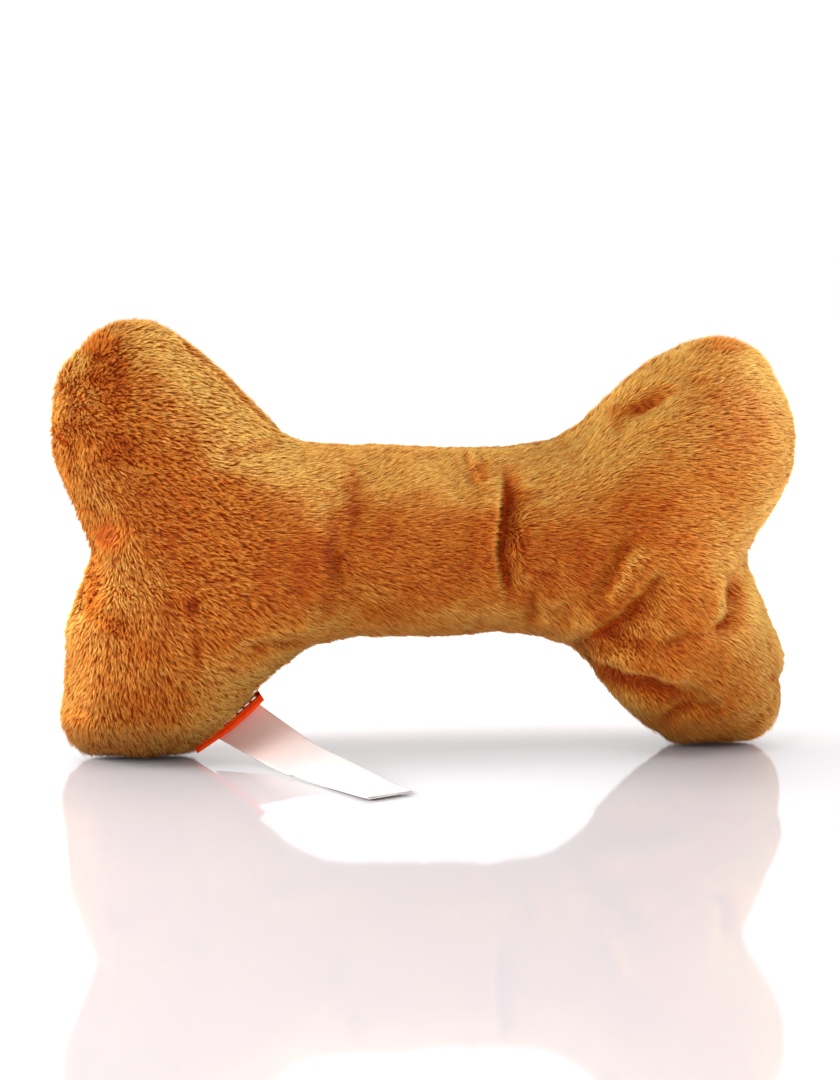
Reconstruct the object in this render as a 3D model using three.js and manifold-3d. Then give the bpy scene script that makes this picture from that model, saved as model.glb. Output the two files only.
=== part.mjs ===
// A stuffed plush bone with a squeaker inside. Millimetres, +Z up, length along X.
// The bone stands on its two lower lobes. The seam that joins the two plush panels lies in
// one plane, y = SEAM_Y, and the front panel faces -Y. The origin is on the floor, in the
// middle of the whole toy's footprint, its care label included.
import * as THREE from 'three';
import { mergeVertices } from 'three/addons/utils/BufferGeometryUtils.js';
import Module from 'manifold-3d';

// ---------------------------------------------------------------- driving dimensions
const SEAM_Y = 18.8;            // seam plane; the label reaches further forward than the back
const SEAM_GAP = 0.15;          // each panel stops this far short of the seam plane
const PLUSH = 2.5;              // thickness of the plush, backing and pressed pile together
const SHANK_HALF = 31;          // half thickness of the stuffed shank
const LOBE_SWELL = 0.15;        // lobes are this much thicker than the shank
const SHANK_END = 45;           // the swell starts here and is full at LOBE_FULL
const LOBE_FULL = 95;
const STUFFING_INSET = 5.4;     // edge of the filling inside the edge of the plush
const STUFFING_CLEAR = 0.5;     // filling to plush, over the faces

const THREAD_R = 0.4;           // seam thread
const THREAD_INSET = 3.55;      // centre of the thread inside the edge of the plush
const GAP_FROM = 0.585;         // hand-closed filling gap, as a part of the edge's length
const GAP_TO = 0.665;

const TAB_FROM = [-77.6, 5.6];  // woven tab, its root on the seam of the lower left lobe
const TAB_TO = [-56.6, 22.2];
const TAB_OUT = 6.2;            // how far the folded tab stands out
const TAB_TILT = 48;            // degrees towards the front
const TAB_T = 0.45;             // one layer of the tab
const TAB_FOLD = 0.5;           // air between its two layers

const LABEL_T = 0.35;           // one leaf of the care label
const LABEL_ROOT_HIGH = [-59.1, 0.9, 16.6];     // x, y from the seam plane, z
const LABEL_ROOT_LOW = [-72.7, 0.9, 3.9];
const LABEL_END_FAR = [-10.8, -64.5, 1.1];
const LABEL_END_NEAR = [-26.4, -73.0, 1.1];
const LABEL_SAG = 2.6;          // the free edges droop by this much on the way to the floor

const BULB_X = -2.5;            // squeaker in the middle of the shank
const BULB_Z = 75.4;
const BULB_R = 23;
const BULB_HALF = 14;
const BULB_WALL = 0.8;
const NECK_R = 6.0;             // outside of the neck
const NECK_BORE = 4.8;
const NECK_END = 18;            // y of the neck's lip from the seam plane
const POCKET = 0.6;             // filling clears the bulb by this much

const HOLDER_R = 4.5;           // reed holder in the neck
const HOLDER_BORE = 3.2;
const HOLDER_IN = 9;            // y of its inner end from the seam plane
const FLANGE_R = 6.8;
const FLANGE_T = 1.4;
const BED_TOP = -0.3;           // z of the reed bed from the bulb's axis
const SLOT_W = 2.2;
const SLOT_L = 5.2;
const REED_W = 3.6;
const REED_T = 0.2;
const REED_L = 9.0;
const CLAMP_L = 3.4;

// Edge of the bone seen from the front, x and z, clockwise from the top of the left upper
// lobe. The two ends differ, as they do on the stuffed toy. The lower lobes run on below the
// floor and are pressed flat where they stand.
const OUTLINE = [
  [-101.3, 153.1], [-92.1, 151.6], [-83.5, 145.6], [-70.0, 134.0], [-59.8, 123.6], [-49.5, 114.1],
  [-44.3, 111.5], [-37.4, 110.0], [-26.9, 109.6], [-9.5, 109.2], [8.0, 108.4], [25.6, 108.6],
  [36.1, 109.7], [43.2, 110.9], [50.9, 114.2], [57.2, 119.9], [69.5, 131.0], [78.2, 137.3],
  [88.8, 143.1], [101.1, 146.2], [110.0, 144.6], [117.2, 140.2], [122.7, 132.1], [126.8, 123.6],
  [129.6, 113.0], [129.7, 105.2], [127.8, 95.9], [123.6, 88.1], [118.4, 79.6], [114.2, 72.2],
  [113.0, 68.3], [114.7, 62.9], [118.9, 54.2], [122.6, 45.1], [126.4, 36.0], [127.3, 30.5],
  [126.6, 22.6], [127.0, 15.2], [125.4, 8.4], [120.2, 2.2], [111.5, -2.2], [100.5, -3.9],
  [91.0, -1.8], [81.7, 6.1], [75.1, 11.1], [65.7, 20.0], [58.1, 28.8], [52.6, 34.6], [46.5, 38.7],
  [38.3, 40.8], [25.9, 42.2], [8.1, 41.8], [-9.6, 41.5], [-27.2, 41.3], [-37.0, 39.7],
  [-45.5, 36.2], [-51.8, 31.7], [-56.8, 26.1], [-62.5, 19.0], [-70.3, 10.9], [-79.6, 2.6],
  [-87.0, -2.4], [-95.5, -4.9], [-104.5, -5.4], [-113.0, -3.2], [-120.8, 1.4], [-126.4, 7.4],
  [-128.8, 15.2], [-127.9, 24.1], [-127.0, 34.7], [-126.0, 48.1], [-123.1, 57.2], [-119.5, 66.0],
  [-117.0, 73.7], [-118.6, 78.2], [-123.2, 89.8], [-127.1, 99.2], [-129.7, 108.2], [-129.7, 122.1],
  [-128.2, 132.4], [-123.6, 139.5], [-116.7, 146.3], [-109.8, 151.4],
];

// ---------------------------------------------------------------- helpers: solids
const wasm = await Module();
wasm.setup();

function toSolid(geometry) {
  const g = geometry.clone();
  for (const name of Object.keys(g.attributes)) if (name !== 'position') g.deleteAttribute(name);
  const m = mergeVertices(g, 1e-4);
  return new wasm.Manifold(new wasm.Mesh({
    numProp: 3,
    vertProperties: new Float32Array(m.attributes.position.array),
    triVerts: new Uint32Array(m.index.array),
  }));
}

function toGeometry(solid) {
  const m = solid.getMesh();
  const g = new THREE.BufferGeometry();
  const p = new Float32Array(m.numVert * 3);
  for (let i = 0; i < m.numVert; i++) {
    for (let k = 0; k < 3; k++) p[3 * i + k] = m.vertProperties[m.numProp * i + k];
  }
  g.setAttribute('position', new THREE.BufferAttribute(p, 3));
  g.setIndex(Array.from(m.triVerts));
  g.computeVertexNormals();
  return g;
}

function fromTriangles(points, triangles) {
  const g = new THREE.BufferGeometry();
  g.setAttribute('position', new THREE.Float32BufferAttribute(points.flat(), 3));
  g.setIndex(triangles.flat());
  g.computeVertexNormals();
  return g;
}

function box(x0, x1, y0, y1, z0, z1) {
  const g = new THREE.BoxGeometry(x1 - x0, y1 - y0, z1 - z0);
  g.translate((x0 + x1) / 2, (y0 + y1) / 2, (z0 + z1) / 2);
  return g;
}

// ---------------------------------------------------------------- helpers: flat geometry
function edge(count) {
  const curve = new THREE.CatmullRomCurve3(
    OUTLINE.map(([x, z]) => new THREE.Vector3(x, 0, z)), true, 'centripetal');
  curve.arcLengthDivisions = 1200;
  return curve.getSpacedPoints(count).slice(0, count).map((p) => [p.x, p.z]);
}

function inward(poly, i) {
  const n = poly.length;
  const [ax, az] = poly[(i + n - 1) % n];
  const [bx, bz] = poly[(i + 1) % n];
  const l = Math.hypot(bx - ax, bz - az);
  return [(bz - az) / l, -(bx - ax) / l];      // right of a clockwise edge is inside
}

function distance(poly, x, z) {
  let best = Infinity;
  for (let i = 0; i < poly.length; i++) {
    const [ax, az] = poly[i];
    const [bx, bz] = poly[(i + 1) % poly.length];
    const dx = bx - ax, dz = bz - az;
    const t = Math.min(1, Math.max(0, ((x - ax) * dx + (z - az) * dz) / (dx * dx + dz * dz)));
    best = Math.min(best, Math.hypot(x - ax - t * dx, z - az - t * dz));
  }
  return best;
}

function inside(poly, x, z) {
  let hit = false;
  for (let i = 0, j = poly.length - 1; i < poly.length; j = i++) {
    const [xi, zi] = poly[i];
    const [xj, zj] = poly[j];
    if ((zi > z) !== (zj > z) && x < ((xj - xi) * (z - zi)) / (zj - zi) + xi) hit = !hit;
  }
  return hit;
}

// Points moved in from the edge by d; points that would crowd a tight corner are dropped.
function inset(poly, d, keepAll = false) {
  const out = [];
  for (let i = 0; i < poly.length; i++) {
    const [nx, nz] = inward(poly, i);
    const p = [poly[i][0] + nx * d, poly[i][1] + nz * d];
    if (keepAll || distance(poly, p[0], p[1]) > 0.9 * d) out.push(p);
  }
  return out;
}

// How open the shape is round a point: 0 at the edge, half the half-width in the middle of a
// straight strip. Its square root gives the round, tight section of a stuffed cover.
function openness(poly, x, z) {
  let sum = 0;
  for (let i = 0; i < poly.length; i++) {
    const [ax, az] = poly[i];
    const [bx, bz] = poly[(i + 1) % poly.length];
    const l = Math.hypot(bx - ax, bz - az);
    const ux = (bx - ax) / l, uz = (bz - az) / l;
    const h = (ax - x) * -uz + (az - z) * ux;
    if (Math.abs(h) < 1e-9) continue;
    const sa = (ax - x) * ux + (az - z) * uz;
    const sb = sa + l;
    sum += (sb / Math.hypot(sb, h) - sa / Math.hypot(sa, h)) / h;
  }
  return 2 / Math.abs(sum);
}

function swell(x) {
  const t = Math.min(1, Math.max(0, (Math.abs(x) - SHANK_END) / (LOBE_FULL - SHANK_END)));
  return 1 + LOBE_SWELL * t * t * (3 - 2 * t);
}

// Delaunay triangles of a set of flat points.
function delaunay(pts) {
  const n = pts.length;
  const all = pts.concat([[-3000, -3000], [3000, -3000], [0, 4000]]);
  const circle = (a, b, c) => {
    const [ax, ay] = all[a], [bx, by] = all[b], [cx, cy] = all[c];
    const d = 2 * (ax * (by - cy) + bx * (cy - ay) + cx * (ay - by));
    const a2 = ax * ax + ay * ay, b2 = bx * bx + by * by, c2 = cx * cx + cy * cy;
    const x = (a2 * (by - cy) + b2 * (cy - ay) + c2 * (ay - by)) / d;
    const y = (a2 * (cx - bx) + b2 * (ax - cx) + c2 * (bx - ax)) / d;
    return { v: [a, b, c], x, y, r: (ax - x) ** 2 + (ay - y) ** 2 };
  };
  let tris = [circle(n, n + 1, n + 2)];
  for (let i = 0; i < n; i++) {
    const [px, py] = all[i];
    const rim = new Map();
    tris = tris.filter((t) => {
      if ((px - t.x) ** 2 + (py - t.y) ** 2 >= t.r * (1 - 1e-10)) return true;
      for (let k = 0; k < 3; k++) {
        const a = t.v[k], b = t.v[(k + 1) % 3];
        const back = `${b},${a}`;
        if (rim.has(back)) rim.delete(back);
        else rim.set(`${a},${b}`, [a, b]);
      }
      return false;
    });
    for (const [a, b] of rim.values()) tris.push(circle(a, b, i));
  }
  return tris.map((t) => t.v).filter((v) => v.every((k) => k < n));
}

// Half of a stuffed bone: flat on the seam plane, swollen to one side (-1 front, +1 back).
function halfPillow(poly, half, side, rings, pitch, start) {
  const pts = poly.map((p) => p.slice());
  const taken = (x, z, gap) => pts.some((p) => Math.hypot(p[0] - x, p[1] - z) < gap);
  for (const d of rings) {
    for (const [x, z] of inset(poly, d)) {
      if (inside(poly, x, z) && !taken(x, z, Math.min(0.8 * d, 3.2))) pts.push([x, z]);
    }
  }
  const clear = rings[rings.length - 1] + pitch * 0.75;
  for (let row = 0, z = -2; z < 156; z += pitch * 0.866, row++) {
    for (let x = -130 + (row % 2) * pitch * 0.5; x < 131; x += pitch) {
      // a hair's shift per row keeps four points from lying on one circle
      const px = x + 0.013 * row, pz = z + 0.007 * ((x * 7) % 5);
      if (inside(poly, px, pz) && distance(poly, px, pz) > clear) pts.push([px, pz]);
    }
  }
  const k = half / Math.sqrt(openness(poly, 0, 75.4));
  const n = poly.length;
  const top = pts.map(([x, z], i) => [x, i < n ? 0 : side * k * swell(x) * Math.sqrt(openness(poly, x, z)), z]);
  const faces = delaunay(pts).filter((t) => {
    const cx = (pts[t[0]][0] + pts[t[1]][0] + pts[t[2]][0]) / 3;
    const cz = (pts[t[0]][1] + pts[t[1]][1] + pts[t[2]][1]) / 3;
    return inside(poly, cx, cz);
  });
  const flat = THREE.ShapeUtils.triangulateShape(poly.map(([x, z]) => new THREE.Vector2(x, z)), []);
  const area = (t) => {
    const [a, b, c] = t.map((i) => pts[i]);
    return (b[0] - a[0]) * (c[1] - a[1]) - (b[1] - a[1]) * (c[0] - a[0]);
  };
  // counter-clockwise in (x, z) faces -Y
  const turn = (t, toMinusY) => ((area(t) > 0) === toMinusY ? t : [t[0], t[2], t[1]]);
  const triangles = [
    ...faces.map((t) => turn(t, side < 0)),
    ...flat.map((t) => turn(t, side > 0)),
  ];
  const g = fromTriangles(top, triangles);
  g.translate(0, SEAM_Y + start * side, 0);
  return g;
}

// ---------------------------------------------------------------- helpers: strips and threads
// A sheet of even thickness between two edge lines, its thickness to the right-hand side.
function strip(lineA, lineB, t, lift = 0) {
  const n = lineA.length;
  const pts = [];
  for (let i = 0; i < n; i++) {
    const a = lineA[i], b = lineB[i];
    const prev = Math.max(0, i - 1), next = Math.min(n - 1, i + 1);
    const along = new THREE.Vector3()
      .addVectors(lineA[next], lineB[next]).sub(lineA[prev]).sub(lineB[prev]);
    const across = new THREE.Vector3().subVectors(b, a);
    const normal = new THREE.Vector3().crossVectors(along, across).normalize();
    for (const s of [lift, lift + t]) {
      pts.push([a.x + normal.x * s, a.y + normal.y * s, a.z + normal.z * s]);
      pts.push([b.x + normal.x * s, b.y + normal.y * s, b.z + normal.z * s]);
    }
  }
  const tri = [];
  const quad = (a, b, c, d) => tri.push([a, b, c], [a, c, d]);
  for (let i = 0; i + 1 < n; i++) {
    const o = 4 * i, p = 4 * (i + 1);
    quad(o, o + 1, p + 1, p);                 // underside
    quad(o + 2, p + 2, p + 3, o + 3);         // upper side
    quad(o, p, p + 2, o + 2);                 // edge A
    quad(o + 1, o + 3, p + 3, p + 1);         // edge B
  }
  const e = 4 * (n - 1);
  quad(0, 2, 3, 1);
  quad(e, e + 1, e + 3, e + 2);
  const g = fromTriangles(pts, tri);
  return signedVolume(g) < 0 ? fromTriangles(pts, tri.map(([a, b, c]) => [a, c, b])) : g;
}

function signedVolume(g) {
  const p = g.attributes.position, ix = g.index.array;
  const a = new THREE.Vector3(), b = new THREE.Vector3(), c = new THREE.Vector3();
  let v = 0;
  for (let i = 0; i < ix.length; i += 3) {
    a.fromBufferAttribute(p, ix[i]);
    b.fromBufferAttribute(p, ix[i + 1]);
    c.fromBufferAttribute(p, ix[i + 2]);
    v += a.dot(b.cross(c)) / 6;
  }
  return v;
}

function thread(points, radius, steps, sides = 6) {
  const section = new THREE.Shape();
  for (let i = 0; i < sides; i++) {
    const a = (2 * Math.PI * i) / sides;
    if (i) section.lineTo(radius * Math.cos(a), radius * Math.sin(a));
    else section.moveTo(radius, 0);
  }
  const path = new THREE.CatmullRomCurve3(points, false, 'centripetal');
  return new THREE.ExtrudeGeometry(section, { steps, bevelEnabled: false, extrudePath: path });
}

// ---------------------------------------------------------------- plush panels
const EDGE = edge(104);
const FACE = SHANK_HALF;
const RINGS = [0.8, 3.2, 8];

function panel(side) {
  const outer = toSolid(halfPillow(EDGE, FACE, side, RINGS, 13, SEAM_GAP));
  const liner = toSolid(halfPillow(inset(EDGE, PLUSH, true), FACE - PLUSH, side, RINGS, 13, SEAM_GAP));
  const mouth = toSolid(extrudeEdge(inset(EDGE, PLUSH, true), side));
  const floor = toSolid(box(-200, 200, -200, 200, -50, 0));
  const innerFloor = toSolid(box(-200, 200, -200, 200, -50, PLUSH));
  return toGeometry(outer.subtract(floor).subtract(liner.add(mouth).subtract(innerFloor)));
}

// Thin slab of the lining's outline that opens the panel at the seam plane.
function extrudeEdge(poly, side) {
  const shape = new THREE.Shape(poly.map(([x, z]) => new THREE.Vector2(x, z)));
  const g = new THREE.ExtrudeGeometry(shape, { depth: 2, steps: 1, bevelEnabled: false });
  g.rotateX(Math.PI / 2);                       // depth now runs along -Y
  g.translate(0, SEAM_Y + (side < 0 ? 1.2 : 0.8), 0);
  return g;
}

// ---------------------------------------------------------------- squeaker
function bulbProfile(grow) {
  const pts = [];
  for (let i = 0; i <= 14; i++) {
    const a = -Math.PI / 2 + (Math.PI * i) / 14 * 0.93;
    pts.push([Math.max(0, (BULB_R + grow) * Math.cos(a)), (BULB_HALF + grow) * Math.sin(a)]);
  }
  pts[0][0] = 0;
  return pts;
}

function squeakerBulb() {
  const outer = bulbProfile(0).filter(([r, y]) => y < 0 || r > NECK_R + 0.5);
  const inner = bulbProfile(-BULB_WALL).filter(([r, y]) => y < 0 || r > NECK_BORE + 0.3);
  const v = (r, y) => new THREE.Vector2(r, y);
  const profile = [
    ...outer.map(([r, y]) => v(r, y)),
    v(NECK_R, BULB_HALF * 1.02), v(NECK_R, NECK_END), v(NECK_BORE, NECK_END),
    v(NECK_BORE, BULB_HALF * 0.94),
    ...inner.reverse().map(([r, y]) => v(r, y)),
  ];
  const g = new THREE.LatheGeometry(profile, 22);
  g.translate(BULB_X, SEAM_Y, BULB_Z);
  return toGeometry(outward(g));
}

function pocketSolid() {
  const pts = bulbProfile(POCKET).filter(([r, y]) => y < 0 || r > FLANGE_R + POCKET);
  const end = NECK_END + FLANGE_T + 1.2;
  const profile = [
    ...pts.map(([r, y]) => new THREE.Vector2(r, y)),
    new THREE.Vector2(FLANGE_R + POCKET, BULB_HALF),
    new THREE.Vector2(FLANGE_R + POCKET, end),
    new THREE.Vector2(0, end),
  ];
  const g = new THREE.LatheGeometry(profile, 18);
  g.translate(BULB_X, SEAM_Y, BULB_Z);
  return outward(g);
}

function outward(geometry) {
  const g = geometry.clone();
  for (const name of Object.keys(g.attributes)) if (name !== 'position') g.deleteAttribute(name);
  const m = mergeVertices(g, 1e-4);
  const ix = Array.from(m.index.array);
  const tri = [];
  for (let i = 0; i < ix.length; i += 3) {
    const t = [ix[i], ix[i + 1], ix[i + 2]];
    if (new Set(t).size === 3) tri.push(t);
  }
  const p = [];
  for (let i = 0; i < m.attributes.position.count; i++) {
    p.push([m.attributes.position.getX(i), m.attributes.position.getY(i), m.attributes.position.getZ(i)]);
  }
  const out = fromTriangles(p, tri);
  const solid = signedVolume(out) < 0 ? fromTriangles(p, tri.map(([a, b, c]) => [a, c, b])) : out;
  return toSolid(solid);
}

// Solid half round bar along Y between y0 and y1, its flat at z0 and its round below or above.
function halfRound(radius, y0, y1, z0, up) {
  const shape = new THREE.Shape();
  const n = 10;
  const a0 = Math.asin(Math.abs(z0) / radius);
  for (let i = 0; i <= n; i++) {
    const a = a0 + ((Math.PI - 2 * a0) * i) / n;
    const x = radius * Math.cos(a), z = (up ? 1 : -1) * radius * Math.sin(a);
    if (i) shape.lineTo(x, z);
    else shape.moveTo(x, z);
  }
  const g = new THREE.ExtrudeGeometry(shape, { depth: y1 - y0, steps: 1, bevelEnabled: false });
  g.rotateX(Math.PI / 2);
  g.translate(0, y1, 0);
  return g;
}

const HOLDER_OUT = NECK_END + 0.3;              // inner face of the flange
const HOLDER_END = HOLDER_OUT + FLANGE_T;

function reedHolder() {
  const v = (r, y) => new THREE.Vector2(r, y);
  const tube = new THREE.LatheGeometry([
    v(HOLDER_BORE, HOLDER_IN), v(HOLDER_R, HOLDER_IN), v(HOLDER_R, HOLDER_OUT),
    v(FLANGE_R, HOLDER_OUT), v(FLANGE_R, HOLDER_END), v(HOLDER_BORE, HOLDER_END),
    v(HOLDER_BORE, HOLDER_IN),
  ], 24);
  const bed = toSolid(halfRound(HOLDER_BORE + 0.5, HOLDER_IN + 0.5, HOLDER_END - 0.6, BED_TOP, false));
  const slot = toSolid(box(-SLOT_W / 2, SLOT_W / 2, HOLDER_IN + 1.5, HOLDER_IN + 1.5 + SLOT_L, -2.2, 1));
  const duct = toSolid(box(-0.7, 0.7, HOLDER_IN + 3, HOLDER_END + 1, -2.2, -1.2));
  const g = toGeometry(outward(tube).add(bed).subtract(slot).subtract(duct));
  g.translate(BULB_X, SEAM_Y, BULB_Z);
  return g;
}

function reed() {
  const y1 = HOLDER_END - 1.0;
  const shape = new THREE.Shape();
  shape.moveTo(-REED_W / 2, 0);
  shape.lineTo(REED_W / 2, 0);
  shape.lineTo(REED_W / 2, REED_L - 1);
  shape.absarc(0, REED_L - 1 - 0.3, REED_W / 2, Math.asin(0.3 / (REED_W / 2)), Math.PI - Math.asin(0.3 / (REED_W / 2)), false);
  shape.lineTo(-REED_W / 2, 0);
  const g = new THREE.ExtrudeGeometry(shape, { depth: REED_T, steps: 1, bevelEnabled: false, curveSegments: 8 });
  g.rotateZ(Math.PI);                           // the round free end points into the bulb
  g.translate(BULB_X, SEAM_Y + y1, BULB_Z);
  return g;
}

function reedClamp() {
  const y1 = HOLDER_END - 0.8;
  const g = halfRound(HOLDER_BORE - 0.3, y1 - CLAMP_L, y1, REED_T + 0.3, true);
  g.translate(BULB_X, SEAM_Y, BULB_Z);
  return g;
}

// ---------------------------------------------------------------- filling
function stuffing(side) {
  const poly = inset(edge(96), STUFFING_INSET, true);
  const lump = toSolid(halfPillow(poly, FACE - PLUSH - STUFFING_CLEAR - 0.6, side, [1.2, 6], 19, SEAM_GAP));
  const floor = toSolid(box(-200, 200, -200, 200, -50, PLUSH + 2.2));
  return toGeometry(lump.subtract(floor).subtract(pocketSolid()));
}

// ---------------------------------------------------------------- seam threads
function seamThread(from, to, steps) {
  const line = inset(edge(240), THREAD_INSET, true);
  const n = line.length;
  const pts = [];
  for (let i = Math.round(from * n); i <= Math.round(to * n); i += 3) {
    const [x, z] = line[i % n];
    pts.push(new THREE.Vector3(x, SEAM_Y, Math.max(z, PLUSH + THREAD_R + 0.5)));
  }
  return thread(pts, THREAD_R, steps);
}

// ---------------------------------------------------------------- tab and label
// The tab is one strip folded back on itself: two layers joined by a round fold outside.
function wovenTab() {
  const a = new THREE.Vector3(TAB_FROM[0], SEAM_Y, TAB_FROM[1]);
  const b = new THREE.Vector3(TAB_TO[0], SEAM_Y, TAB_TO[1]);
  const along = new THREE.Vector3().subVectors(b, a).normalize();
  const flatOut = new THREE.Vector3(along.z, 0, -along.x);        // away from the lobe
  const tilt = THREE.MathUtils.degToRad(TAB_TILT);
  const out = flatOut.clone().multiplyScalar(Math.cos(tilt)).add(new THREE.Vector3(0, -Math.sin(tilt), 0));
  const over = new THREE.Vector3().crossVectors(along, out).normalize();
  const r0 = TAB_FOLD / 2, r1 = r0 + TAB_T;
  const section = new THREE.Shape();
  section.moveTo(0, r0);
  section.lineTo(0, r1);
  section.lineTo(TAB_OUT - r1, r1);
  section.absarc(TAB_OUT - r1, 0, r1, Math.PI / 2, -Math.PI / 2, true);
  section.lineTo(0, -r1);
  section.lineTo(0, -r0);
  section.lineTo(TAB_OUT - r1, -r0);
  section.absarc(TAB_OUT - r1, 0, r0, -Math.PI / 2, Math.PI / 2, false);
  section.lineTo(0, r0);
  const g = new THREE.ExtrudeGeometry(section, { depth: a.distanceTo(b), steps: 1, bevelEnabled: false, curveSegments: 6 });
  const place = new THREE.Matrix4().makeBasis(out, over, along);
  if (place.determinant() < 0) place.makeBasis(out, over.negate(), along);
  place.setPosition(a.clone().addScaledVector(flatOut, 1.6).add(new THREE.Vector3(0, -1.2, 0)));
  g.applyMatrix4(place);
  return { geometry: g, a, along, flatOut, out, over };
}

function tabStitching(tab) {
  const root = tab.a.clone().addScaledVector(tab.flatOut, 1.6).add(new THREE.Vector3(0, -1.2, 0));
  const toFront = tab.over.y < 0 ? 1 : -1;
  const base = root.clone().addScaledVector(tab.out, 1.4)
    .addScaledVector(tab.over, toFront * (TAB_FOLD / 2 + TAB_T + 0.3 + 0.25));
  const l = new THREE.Vector3(TAB_TO[0] - TAB_FROM[0], 0, TAB_TO[1] - TAB_FROM[1]).length();
  const pts = [0.6, l * 0.34, l * 0.67, l - 0.6].map((s) => base.clone().addScaledVector(tab.along, s));
  return thread(pts, 0.25, 6);
}

function labelLines(lift) {
  const V = ([x, y, z]) => new THREE.Vector3(x, SEAM_Y + y, z + lift);
  const rows = 9;
  const high = [], low = [];
  for (let i = 0; i < rows; i++) {
    const t = i / (rows - 1);
    const sag = LABEL_SAG * Math.sin(Math.PI * t);
    const h = V(LABEL_ROOT_HIGH).lerp(V(LABEL_END_FAR), t);
    const l = V(LABEL_ROOT_LOW).lerp(V(LABEL_END_NEAR), t);
    h.z = Math.max(h.z - sag, 1.1 + lift);
    l.z = Math.max(l.z - sag, 1.1 + lift);
    high.push(h);
    low.push(l);
  }
  return [high, low];
}

// ---------------------------------------------------------------- assembly
const plush = (color) => new THREE.MeshStandardMaterial({ color, roughness: 0.95, metalness: 0 });
const part = new THREE.Group();

function add(name, geometry, material) {
  const mesh = new THREE.Mesh(geometry, material);
  mesh.name = name;
  part.add(mesh);
  return mesh;
}

const ochre = plush(0xc07a32);
const fibre = plush(0xf2f0ea);
const threadMat = new THREE.MeshStandardMaterial({ color: 0x9a5a1e, roughness: 0.8, metalness: 0 });
const whiteThread = new THREE.MeshStandardMaterial({ color: 0xf4f1ee, roughness: 0.75, metalness: 0 });
const woven = new THREE.MeshStandardMaterial({ color: 0xe2400f, roughness: 0.7, metalness: 0 });
const satin = new THREE.MeshStandardMaterial({ color: 0xf3efee, roughness: 0.35, metalness: 0 });
const polythene = new THREE.MeshStandardMaterial({ color: 0xf3f3ee, roughness: 0.4, metalness: 0 });
const hard = new THREE.MeshStandardMaterial({ color: 0xfafafa, roughness: 0.3, metalness: 0 });
const film = new THREE.MeshStandardMaterial({ color: 0xd8e4ea, roughness: 0.2, metalness: 0 });

add('front_panel', panel(-1), ochre);
add('back_panel', panel(1), ochre);
add('perimeter_seam_thread', seamThread(GAP_TO + 0.006, 1 + GAP_FROM - 0.006, 96), threadMat);
add('closing_seam_thread', seamThread(GAP_FROM, GAP_TO, 12), threadMat);

const tab = wovenTab();
add('woven_tab', tab.geometry, woven);
add('tab_stitching', tabStitching(tab), whiteThread);
const [high, low] = labelLines(0);
const [high2, low2] = labelLines(-0.7);
add('care_label_upper_leaf', strip(high, low, LABEL_T), satin);
add('care_label_lower_leaf', strip(high2, low2, LABEL_T), satin);

add('front_stuffing', stuffing(-1), fibre);
add('back_stuffing', stuffing(1), fibre);
add('squeaker_bulb', squeakerBulb(), polythene);
add('reed_holder', reedHolder(), hard);
add('reed', reed(), film);
add('reed_clamp', reedClamp(), hard);

export default part;
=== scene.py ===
import math

import bmesh
import bpy
import numpy as np
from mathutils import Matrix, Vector
from mathutils.geometry import delaunay_2d_cdt


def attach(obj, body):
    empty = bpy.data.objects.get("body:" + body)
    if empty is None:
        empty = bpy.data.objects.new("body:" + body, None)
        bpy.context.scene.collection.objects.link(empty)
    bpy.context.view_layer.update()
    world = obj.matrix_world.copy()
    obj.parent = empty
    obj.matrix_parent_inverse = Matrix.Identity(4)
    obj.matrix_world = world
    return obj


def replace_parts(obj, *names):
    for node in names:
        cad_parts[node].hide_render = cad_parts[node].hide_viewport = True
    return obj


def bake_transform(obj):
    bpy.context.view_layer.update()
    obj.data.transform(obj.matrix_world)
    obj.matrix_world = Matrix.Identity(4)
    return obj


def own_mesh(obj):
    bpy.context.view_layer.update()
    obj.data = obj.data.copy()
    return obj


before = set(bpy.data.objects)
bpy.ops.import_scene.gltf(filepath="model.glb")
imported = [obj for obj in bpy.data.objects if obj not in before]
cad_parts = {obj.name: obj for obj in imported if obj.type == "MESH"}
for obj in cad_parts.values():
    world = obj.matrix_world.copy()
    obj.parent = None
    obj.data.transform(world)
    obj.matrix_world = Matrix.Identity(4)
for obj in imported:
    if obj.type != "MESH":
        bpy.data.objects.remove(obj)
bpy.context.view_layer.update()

scene = bpy.context.scene

# ------------------------------------------------------------------ sizes, millimetres
SEAM_Y = 18.8
SKIN_HALF = 28.6          # half thickness of the shank, without the pile
SKIN_INSET = 1.25         # the cloth's edge inside the pile's edge
LOBE_SWELL = 0.15
SHANK_END = 45.0
LOBE_FULL = 95.0
START = 0.965             # the pillow starts this much thinner, and swells
VOXEL = 3.2
SKIN_T = 0.8              # knitted backing
FLOOR = 0.9               # cloth's lowest point: flattened pile lies under it

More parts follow.
